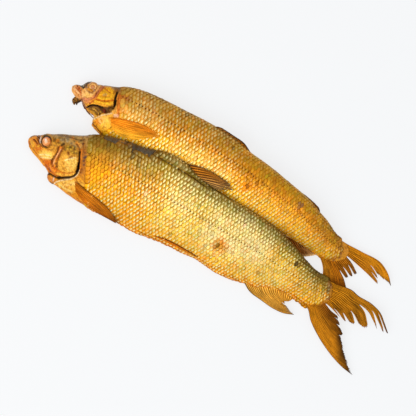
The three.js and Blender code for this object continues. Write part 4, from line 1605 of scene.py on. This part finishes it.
def back_fish() -> Fish:
    """Set out the smaller fish, behind, with its gill opened and its jaw torn.

    Returns:
        The fish, ready to make.
    """
    shape = Shape(
        back_edge=(
            (11.5, 69), (13, 71.2), (15, 72.6), (17.5, 73.6), (20, 76), (23, 80.4), (26, 82.6), (29, 83),
            (32, 83), (40, 86), (50, 90), (60, 95), (70, 98.5), (80, 100.5), (100, 102.5), (120, 103.5),
            (150, 105), (180, 103.5), (200, 100), (220, 98), (250, 93), (275, 88), (290, 82.5), (300, 79),
            (312, 72.8), (322, 70), (330, 68.4), (335, 63),
        ),
        belly_edge=(
            (11.5, 68), (12.4, 65.8), (16, 62.8), (19, 61.2), (24, 61), (28, 59.6), (32, 57.2), (36, 55.4),
            (39, 54.6), (42, 54.1), (44.6, 53.6), (46, 51), (47, 46.4), (50, 43.6), (55, 41.8), (62, 40.2),
            (80, 41.5), (100, 44), (150, 50), (200, 46), (240, 45.5), (275, 46.5), (300, 46), (318, 45.6),
            (326, 48), (335, 56),
        ),
        girth=(
            (11.5, 11, 0.4, 0), (15, 11, 5, 0), (22, 11.5, 8, 0.5), (30, 12, 10.5, 1), (40, 13, 12, 1.4),
            (50, 14, 13.5, 1), (62, 14.5, 15, 0.6), (80, 15, 16.5, 0), (100, 15.5, 17.5, -0.5),
            (150, 16, 18, -0.5), (200, 15, 17, 0), (240, 13.5, 15, 1), (275, 11.5, 12.5, 2),
            (295, 9.5, 9.5, 2), (310, 7.6, 5.6, 1.6), (320, 6.8, 3.0, 1.2), (328, 6.5, 1.2, 0.8),
            (335, 6.4, 0.3, 0.5),
        ),
        fuller_back=0.0,
    )
    tones = Tones(
        (
            (-1.0, (240, 152, 22)), (-0.7, (248, 174, 40)), (-0.3, (246, 170, 42)), (0.1, (234, 154, 40)),
            (0.4, (224, 148, 46)), (0.7, (206, 136, 44)), (0.9, (172, 112, 38)), (1.0, (116, 80, 34)),
        )
    )
    scale_tones = Tones(
        (
            (-1.0, (252, 182, 28)), (-0.7, (252, 186, 30)), (-0.3, (250, 174, 24)), (0.1, (238, 156, 20)),
            (0.4, (220, 148, 24)), (0.7, (212, 146, 30)), (0.9, (202, 144, 40)), (1.0, (160, 118, 46)),
        )
    )
    marks = (
        # Along the back.
        area((200, 138, 46), 0.4, 9.0, (60, 88), (100, 92), (160, 92), (230, 86), (300, 72), (310, 80),
             (150, 110), (60, 100), mottle=0.5),
        area((250, 190, 100), 0.4, 8.0, (58, 66), (104, 66), (112, 88), (96, 98), (58, 92)),
        area((246, 170, 40), 0.4, 9.0, (210, 50), (300, 48), (310, 66), (280, 76), (216, 86)),
        area((220, 156, 22), 0.6, 8.0, (180, 96), (240, 84), (290, 72), (300, 80), (250, 94), (186, 104)),
        area((204, 118, 16), 0.4, 10.0, (90, 78), (160, 80), (240, 72), (300, 62), (300, 68), (230, 82),
             (120, 88), mottle=0.4),
        # A pale patch of painted sheen on the lower flank.
        area((255, 216, 120), 0.45, 7.0, (124, 60), (190, 60), (196, 70), (160, 76), (130, 74), mottle=0.4),
        # The snout.
        area((240, 172, 104), 0.85, 2.0, (11, 69), (14, 72), (20, 72), (27, 70), (30, 62), (22, 60),
             (14, 64)),
        area((206, 92, 24), 0.85, 1.0, (14.6, 71.4), (17, 72.4), (21, 70.6), (22, 67.5), (18, 68.6),
             lift=-0.3),
        *spot((120, 50, 16), 0.8, 0.8, (16, 71.4), (18.4, 70.6), (21, 69.4), lift=-0.3),
        line((190, 84, 26), 0.75, 0.3, (15, 69.6), (18, 68.6), (21.6, 67.4), (24, 65), soft=0.8, lift=-0.6),
        line((226, 132, 52), 0.6, 0.3, (13.4, 66.6), (17, 65.4), (21, 63.6), (25, 62.4)),
        line((255, 206, 160), 0.3, 0.4, (12.8, 67.6), (17, 67), (21, 65.4), soft=1.0, lift=0.1),
        *spot((34, 34, 28), 0.95, 1.5, (19.4, 74), (21.8, 73.4), lift=-0.8),
        *spot((52, 50, 48), 0.85, 1.3, (20.6, 76), (22.6, 75.6), lift=-0.3),
        *spot((190, 176, 150), 0.8, 0.7, (20.5, 75), (18.4, 75.2)),
        # The far eye's socket, showing over the head's edge.
        area((66, 58, 52), 0.95, 0.9, (21.5, 77.6), (24, 81.4), (27, 84.5), (32, 84), (31.5, 82.4),
             (28, 82.2), (25, 80.4), (23, 77)),
        # Rings round the eye.
        line((96, 66, 52), 0.75, 0.35, (24.2, 75), (23.2, 78), (24.6, 81), (28, 82.6), lift=-0.5),
        line((176, 112, 60), 0.7, 0.3, (23.4, 74.4), (27, 72.2), (31.6, 73), (34, 76.6), (33.6, 80.6),
             lift=-0.4),
        line((242, 182, 110), 0.7, 0.6, (24, 72.6), (28, 70.8), (32.8, 71.6), (35.6, 76), (35, 81.4),
             soft=1.0, lift=0.5),
        *spot((120, 110, 120), 0.5, 0.9, (25.4, 75.2), (32.8, 76)),
        # The cheek, with its pink bands.
        area((255, 206, 116), 0.75, 2.2, (25, 71), (32, 70), (35, 73), (35, 69), (31, 65), (25, 66),
             mottle=0.3),
        line((206, 112, 70), 0.8, 0.7, (38.6, 84.5), (37.6, 79), (37, 73), (35, 68), (31, 64.4),
             (27, 62.6), soft=1.1, lift=-0.5),
        line((150, 82, 60), 0.75, 0.25, (36.8, 78), (36.4, 74), (36.6, 70), soft=0.7, lift=-0.5),
        line((186, 76, 24), 0.75, 0.3, (39.6, 84), (38.8, 78), (38.4, 72), (37.8, 67), (35.6, 62),
             soft=0.8, lift=-0.7),
        line((246, 176, 96), 0.55, 0.5, (36, 83), (35.6, 78), (34.2, 72), (30.6, 67.4), lift=0.5),
        line((236, 130, 50), 0.6, 0.5, (38.4, 70), (35, 65), (31, 61.4), lift=0.4),
        area((214, 130, 96), 0.7, 1.4, (27, 64), (33, 66.6), (36, 63.4), (33, 60), (27, 61.4), mottle=0.4),
        line((240, 150, 90), 0.6, 0.3, (28, 65.4), (31, 63.4), (34, 63), soft=0.8),
        # The gill cover, with its fold.
        area((252, 176, 26), 0.9, 2.0, (40, 84), (45, 87), (51, 86), (54, 80), (56, 74), (52, 70),
             (45, 68), (40, 67), (39, 75), lift=1.2),
        area((214, 150, 22), 0.7, 2.0, (41, 78), (44, 81), (48, 80.6), (48, 76), (43, 74), mottle=0.4),
        line((190, 84, 8), 0.85, 0.35, (39.5, 69.4), (43, 70.4), (47, 71), (50.6, 73.6), (55.4, 77.4),
             lift=-0.9),
        line((196, 96, 10), 0.7, 0.25, (40.4, 82.4), (44, 82), (49, 81.4), soft=0.8, lift=-0.5),
        line((206, 106, 16), 0.5, 0.25, (42, 75), (46, 76.4), (50, 78.4), soft=0.8, lift=-0.3),
        line((252, 182, 30), 0.7, 0.8, (39, 67), (46, 69), (54, 72), soft=1.0, lift=0.6),
        line((252, 190, 40), 0.5, 0.6, (41, 71.8), (46, 73), (51, 76.4), lift=0.4),
        *spot((216, 170, 90), 0.7, 1.2, (45.4, 78), (44, 76.6)),
        *spot((200, 90, 14), 0.6, 1.0, (46.6, 71.8), (41.4, 83.4)),
        area((168, 112, 44), 0.6, 2.0, (46, 87), (53, 90), (58, 92), (58, 87), (54, 84)),
        *spot((110, 74, 44), 0.6, 1.6, (54.6, 88), (54, 90.6)),
        # The shoulder.
        line((226, 110, 14), 0.8, 0.9, (57.4, 84), (60, 78), (63.4, 72), (66.6, 66), soft=1.4, lift=0.4),
        line((150, 76, 10), 0.6, 0.3, (56.8, 86), (58.6, 80), (61, 74), lift=-0.4),
        *spot((238, 186, 150), 0.75, 1.6, (63.6, 64.4), (65.4, 65.4)),
        *spot((184, 92, 20), 0.7, 1.4, (61, 85.6), (64.6, 84.4), (68.4, 85)),
        # The breast with its pale cut edge, and the dark line of the belly cut.
        area((250, 140, 34), 0.7, 2.2, (48, 50), (53, 57), (57, 54), (56, 49), (50, 47), mottle=0.6),
        area((255, 226, 150), 0.4, 1.6, (50, 55), (56, 60), (62, 58), (66, 52), (60, 50), (54, 50),
             mottle=0.9),
        area((255, 192, 56), 0.7, 2.2, (57, 60), (66, 60), (68, 50), (60, 45), (56, 50), mottle=0.2),
        line((248, 216, 160), 0.75, 0.3, (45.6, 48.5), (48.6, 53.4), (52.6, 58.8), (57, 62.4), (59.8, 65),
             soft=0.8, lift=0.5),
        line((108, 22, 6), 0.95, 0.22, (47, 46.6), (50, 45.4), (54, 44.4), (58, 42.8), (63, 41.4),
             soft=0.6, lift=-0.8),
        *spot((120, 60, 14), 0.7, 1.0, (46.6, 46), (48.4, 47.6)),
        # The open gill: a hollow with arches inside it, painted dark brown partly as its flesh and partly as
        # shade. The near-black lines along its lower edge and the slit behind the cover are painted shade in
        # the gaps.
        area((96, 52, 14), 1.0, 0.7, (35, 58.6), (38, 62.6), (43, 64.6), (48, 65.8), (53, 68.2),
             (56.4, 72), (59, 70), (58.6, 65.6), (55.4, 62), (52, 61), (49.4, 57.4), (46, 56), (41, 56),
             (36, 56.6), lift=-1.5),
        area((214, 156, 40), 0.9, 0.9, (37, 57), (41, 61), (46, 62), (50, 60.4), (47.6, 56), (42, 54),
             (37, 54), mottle=0.5, lift=0.6),
        line((92, 50, 12), 0.8, 0.3, (37.5, 58.6), (42, 60), (47, 59.6), (50, 57.6), soft=0.8, lift=-0.5),
        line((110, 60, 14), 0.8, 0.25, (38, 56.6), (43, 57.4), (48.4, 56), soft=0.8, lift=-0.4),
        line((236, 176, 70), 0.4, 0.3, (40, 59), (44, 58.8), (47.6, 57.8)),
        area((60, 26, 12), 0.7, 0.9, (44, 62.6), (49, 64), (54, 67), (57.4, 71), (57.4, 67), (52, 62),
             mottle=0.6, lift=-0.6),
        line((22, 8, 4), 1.0, 0.5, (35, 57.4), (36.4, 60), (38.6, 62.2), (43, 64), (48.6, 65.2), soft=0.8,
             lift=-0.8),
        line((26, 10, 8), 1.0, 0.6, (53.8, 86), (54.8, 81), (56.2, 77), (58.2, 72.4), soft=0.7, lift=-2.4),
        line((30, 12, 6), 1.0, 0.5, (57, 78), (58.4, 74), (58.6, 70), soft=0.8, lift=-1.0),
        *spot((116, 26, 16), 0.85, 1.3, (51.4, 63.6), (53, 62), lift=1.2),
        *spot((116, 76, 22), 0.85, 1.9, (56.8, 67), (58, 69.4), lift=1.4),
        *spot((70, 40, 14), 0.7, 1.5, (54.6, 68), (48, 64), lift=0.8),
        # Under the jaw.
        line((116, 50, 12), 0.8, 0.7, (26, 61.4), (30, 59), (34, 56.4)),
        # Bruises.
        *spot((226, 122, 14), 0.75, 4.6, (211, 69)),
        *spot((96, 44, 12), 0.85, 1.6, (210, 69.6), (212.6, 68.4), (217.6, 75.6), (233, 88)),
        *spot((112, 84, 82), 0.7, 3.0, (267, 80), mottle=0.5),
        *spot((80, 48, 18), 0.7, 1.6, (284, 72), (180, 96), (140, 92)),
        # The tail's root, where the scales give way to rays.
        area((200, 130, 34), 0.8, 4.0, (318, 73), (324, 64), (326, 56), (322, 48), (316, 44), (338, 44),
             (338, 73)),
        area((190, 138, 52), 0.4, 5.0, (296, 76), (314, 72), (324, 64), (324, 52), (314, 47), (298, 50),
             mottle=0.8),
        line((108, 72, 58), 0.75, 1.8, (320, 69), (325, 62), (327, 55), (323, 48), soft=2.4, mottle=0.9),
    )
    fins = (
        Fin(
            "upper_tail", rays=12, seed=14,
            root=((314, 70, 7.8), (321, 66, 7), (325, 60.6, 6.6)),
            margin=((388, 55, 3), (385, 56.6, 3.6), (379, 57.6, 3.8), (371, 57, 4.2), (373, 53.8, 3.6),
                    (375, 50, 3.2)),
            lead=((328, 69.6, 7), (345, 70.2, 6.2), (368, 70, 5), (380, 63.6, 4)),
            trail=((332, 59.6, 6.6), (350, 56.2, 5), (362, 53.6, 4)),
            tears=(Tear(0.66, 0.72, 0.06), Tear(0.84, 0.8, 0.05)), tip_colour=(84, 54, 18), tip_from=0.92,
            ray_colour=(250, 170, 30), web_colour=(180, 100, 8), far_ray_colour=(230, 144, 22),
            far_web_colour=(110, 56, 6),
        ),
        Fin(
            "middle_tail", rays=9, seed=15,
            root=((325, 60.6, 6.4), (326, 55, 6.2), (322, 48, 6)),
            margin=((352, 49, 4.4), (349.4, 45.6, 4.4), (348.6, 43.6, 4.4), (344, 39.6, 4.2)),
            lead=((333, 58.6, 6.2), (342, 55.4, 5.4)),
            trail=((330, 45, 5.4), (337, 42.6, 5)),
            tears=(Tear(0.3, 0.55, 0.14), Tear(0.66, 0.5, 0.16)), tip_colour=(104, 60, 14),
            ray_colour=(214, 130, 20), web_colour=(96, 46, 6),
        ),
        Fin(
            "lower_tail", rays=11, seed=16,
            root=((325, 50, 6), (317, 47, 6.2), (308, 46.4, 6.4)),
            margin=((350, 31, 3), (337, 27.6, 2.6), (323.6, 29, 3)),
            lead=((336, 42.6, 5), (344, 37, 4)),
            trail=((315, 41.6, 5.2), (320, 36, 4.2)),
            ray_colour=(206, 124, 14), web_colour=(126, 62, 6), far_ray_colour=(236, 160, 34),
            far_web_colour=(160, 92, 12), tip_colour=(110, 60, 12),
        ),
        Fin(
            "dorsal_fin", rays=9, seed=17,
            root=((154, 103.6, 20), (175, 102.4, 20.6), (194, 99.6, 19.6)),
            margin=((162, 107.4, 19), (176, 106.6, 18.6), (190, 105, 18.4), (198, 101, 18.6)),
            lead=((157, 106, 19.6),),
            trail=((196, 100.2, 19),),
            ray_colour=(160, 100, 36), web_colour=(92, 56, 20), tip_colour=(60, 40, 22), tip_from=0.6,
        ),
        Fin(
            "adipose_fin", rays=4, seed=18,
            root=((260, 89, 15), (272, 86, 15), (282, 83, 14)),
            margin=((268, 91, 14.2), (280, 88.6, 13.6), (287, 86, 13), (289.6, 82.8, 13)),
            lead=((264, 91, 14.6),),
            trail=((286, 82.6, 13.4),),
            ray_colour=(170, 108, 28), web_colour=(150, 90, 22), tip_colour=(84, 50, 20), tip_from=0.5,
            ridge=0.05, thickness=1.2,
        ),
        # The anal fin's near-black web is partly its own colour and partly painted shade.
        Fin(
            "anal_fin", rays=10, seed=19,
            root=((260, 50, 9), (280, 49, 8), (298, 48, 7)),
            margin=((294.6, 35.6, 6), (299, 38, 6), (304.4, 42.2, 6), (309.4, 46.6, 6.2)),
            lead=((274, 43, 7), (286, 37.6, 6.4)),
            trail=((303, 47.8, 6.6),),
            ray_colour=(190, 110, 30), web_colour=(70, 30, 10), far_ray_colour=(244, 186, 110),
            far_web_colour=(110, 60, 28), tip_colour=(240, 190, 124), tip_from=0.8,
            edge_colour=(60, 28, 12),
        ),
        Fin(
            "left_pectoral_fin", rays=10, seed=20,
            root=((60.6, 60.6, 26), (63, 57, 24), (67, 51.6, 20)),
            margin=((107, 70.4, 30), (113, 68.2, 30), (108, 65.6, 28)),
            lead=((70, 64.6, 28), (80, 67.8, 29), (92, 70.4, 30)),
            trail=((76, 49.6, 20), (88, 51.6, 22), (98, 57, 26)),
            ray_colour=(242, 152, 34), web_colour=(208, 108, 10), far_ray_colour=(255, 196, 60),
            far_web_colour=(248, 160, 24), tip_colour=(246, 170, 54), tip_from=0.86,
            edge_colour=(190, 96, 10), ridge=0.3, thickness=0.8, lies_over=1.3,
        ),
    )
    strips = (
        Strip(
            "torn_jaw", ((25.4, 62, 9), (22, 60.6, 8), (20.4, 57.6, 6.6), (22.4, 53.6, 5.4)),
            (1.4, 2.6, 2.4, 0.9), (150, 96, 18), (70, 34, 8), rough=0.2, flat=0.5, seed=61,
        ),
        Strip(
            "torn_jaw_edge", ((27, 60.8, 9), (24.6, 59.4, 8), (23.6, 57, 7), (24.4, 54.4, 6)),
            (1.0, 1.6, 1.2, 0.5), (64, 28, 8), (44, 18, 6), rough=0.2, flat=0.5, seed=62,
        ),
        Strip(
            "gill_rod_1", ((28, 60, 9), (33, 56.8, 11), (39, 55.2, 14), (46.6, 54, 15)),
            (1.0, 1.3, 1.0, 0.6), (112, 52, 10), (54, 20, 8), rough=0.15, seed=63,
        ),
        Strip(
            "gill_rod_2", ((33, 57, 10), (38, 54, 12), (42, 52.8, 12.6), (46.2, 51.4, 13)),
            (0.9, 0.7, 0.5, 0.35), (150, 96, 40), (90, 66, 44), rough=0.15, seed=64,
        ),
        Strip(
            "gill_arch_1", ((37.4, 59.4, 15), (41, 61.8, 17), (45, 61.6, 18), (48.6, 59, 17)),
            (0.8, 1.1, 1.1, 0.6), (206, 126, 14), (130, 74, 12), rough=0.2, seed=65,
        ),
        Strip(
            "gill_arch_2", ((37, 57.4, 14), (41, 59, 16), (45, 58.8, 17), (49.6, 56.4, 16)),
            (0.8, 1.0, 0.9, 0.5), (226, 150, 26), (150, 88, 14), rough=0.2, seed=66,
        ),
    )
    return Fish(
        name="back",
        node="back_fish",
        shape=shape,
        tones=tones,
        coat=Coat(
            tones=scale_tones,
            # The scales' painted highlight, weaker towards the back.
            painted_highlight=((-1.0, 0.7), (-0.5, 0.8), (0.0, 0.62), (0.35, 0.42), (0.7, 0.36), (1.0, 0.3)),
            starts_at=((60, 40), (68, 52), (70, 62), (66, 70), (62, 78), (58, 86), (54, 94), (52, 100)),
            ends_at=((314, 44), (322, 49), (327, 55), (327.4, 61), (323, 67), (318, 72)),
            lateral_line=((60, 85), (100, 86.5), (200, 83), (260, 75), (300, 66), (334, 60)),
            pitch_body=3.7,
            pitch_tail=2.8,
        ),
        marks=marks,
        bare=(),
        eye=Eye(
            centre=(30.1, 78.2),
            radius=5.2,
            rings=((0.0, (214, 130, 56)), (0.2, (202, 112, 40)), (0.34, (150, 76, 28)),
                   (0.46, (232, 166, 88)), (0.64, (240, 176, 92)), (0.76, (140, 78, 36)),
                   (0.86, (232, 164, 84)), (1.0, (190, 120, 60))),
            painted_glint=(-0.1, 0.1),
            painted_glint_colour=(206, 128, 58),
            bulge=0.36,
            far_seat=(27, 80.6, 12),
        ),
        fins=fins,
        strips=strips,
        seed=42,
        # Marks that raise or lower the scales' painted highlight.
        painted_highlight_marks=(
            area(NO_COLOUR, -0.3, 5.0, (54, 40), (70, 44), (74, 70), (66, 100), (50, 100)),
            area(NO_COLOUR, 0.2, 8.0, (100, 64), (140, 68), (190, 68), (250, 62), (250, 54), (180, 58),
                 (110, 58)),
            area(NO_COLOUR, -0.35, 12.0, (196, 66), (300, 56), (312, 70), (250, 94), (196, 98)),
            area(NO_COLOUR, -0.35, 5.0, (306, 44), (330, 44), (330, 74), (306, 74)),
            *spot(NO_COLOUR, -0.7, 4.0, (211, 69)),
            *spot(NO_COLOUR, -0.7, 2.0, (218, 76), (233, 88), (267, 80), (284, 72)),
        ),
        skin_under_scales=(130, 68, 8),
    )


# ---------------------------------------------------------------------------------------------------------
# Floor, light and camera
# ---------------------------------------------------------------------------------------------------------


@dataclass(frozen=True)
class Studio:
    """A white table under soft daylight, seen from straight above."""

    look_at: Point = (189.9, 31.1)
    turn: float = math.radians(30.0)
    field_width: float = 0.416
    camera_height: float = 4.0
    subject_height: float = 0.012
    floor_size: float = 6.0

    def make_floor(self) -> bpy.types.Object:
        """Lay the pale floor."""
        form = bmesh.new()
        bmesh.ops.create_grid(form, x_segments=1, y_segments=1, size=self.floor_size / 2)
        mesh = bpy.data.meshes.new("floor")
        form.to_mesh(mesh)
        form.free()
        material = bpy.data.materials.new("white_table")
        material.use_nodes = True
        shader = material.node_tree.nodes["Principled BSDF"]
        shader.inputs["Base Color"].default_value = (0.2, 0.203, 0.207, 1.0)
        shader.inputs["Roughness"].default_value = 0.8
        shader.inputs["Specular IOR Level"].default_value = 0.1
        shader.inputs["Emission Color"].default_value = (0.98, 0.99, 1.0, 1.0)
        shader.inputs["Emission Strength"].default_value = 0.748
        mesh.materials.append(material)
        floor = bpy.data.objects.new("floor", mesh)
        bpy.context.collection.objects.link(floor)
        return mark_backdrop(floor)

    def make_light(self, name: str, place: Point3, size: float, power: float, aim: Vector) -> None:
        """Hang a square soft light that faces a point."""
        lamp = bpy.data.lights.new(name, "AREA")
        lamp.shape = "SQUARE"
        lamp.size = size
        lamp.energy = power
        hung = bpy.data.objects.new(name, lamp)
        hung.location = place
        hung.rotation_euler = (aim - Vector(place)).to_track_quat("-Z", "Y").to_euler()
        bpy.context.collection.objects.link(hung)

    def make_camera(self, bench: Bench) -> None:
        """Hang the camera over the pair, turned as the pair lies in view."""
        lens = bpy.data.cameras.new("camera")
        lens.lens = lens.sensor_width * (self.camera_height - self.subject_height) / self.field_width
        camera = bpy.data.objects.new("camera", lens)
        along, across = self.look_at
        camera.location = bench.origin + Vector((along * MM, across * MM, self.camera_height))
        camera.rotation_euler = (0.0, 0.0, self.turn)
        bpy.context.collection.objects.link(camera)
        bpy.context.scene.camera = camera

    def build(self, bench: Bench) -> None:
        """Make the floor, lights, sky and camera."""
        self.make_floor()
        aim = Vector((0.0, 0.0, 0.0))
        self.make_light("key", (-0.75, -0.95, 1.25), 1.5, 14.5, aim)
        self.make_light("overhead", (0.1, 0.1, 1.7), 1.2, 8.0, aim)
        world = bpy.data.worlds.new("sky")
        world.use_nodes = True
        world.node_tree.nodes["Background"].inputs["Color"].default_value = (0.97, 0.985, 1.0, 1.0)
        world.node_tree.nodes["Background"].inputs["Strength"].default_value = 0.48
        bpy.context.scene.world = world
        bpy.context.scene.view_settings.view_transform = "Standard"
        self.make_camera(bench)


# ---------------------------------------------------------------------------------------------------------
# The whole scene
# ---------------------------------------------------------------------------------------------------------

LOWEST_ACROSS = -41.67  # where the front fish's lower tail tip is in the layout


def main() -> None:
    """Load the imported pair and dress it."""
    logging.basicConfig(level=logging.INFO, format="%(message)s")
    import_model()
    cad_low, cad_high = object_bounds()
    bench = Bench(Vector((cad_low[0], cad_low[1] - LOWEST_ACROSS * MM, 0.0)))
    Studio().build(bench)
    finishes = {
        "skin": SKIN.build(),
        "scale": SCALE.build(),
        "fin": FIN.build(),
        "eye": EYE.build(),
        "flesh": FLESH.build(),
    }
    for fish in (front_fish(), back_fish()):
        fish.make(bench, finishes)


if __name__ == "__main__":
    main()
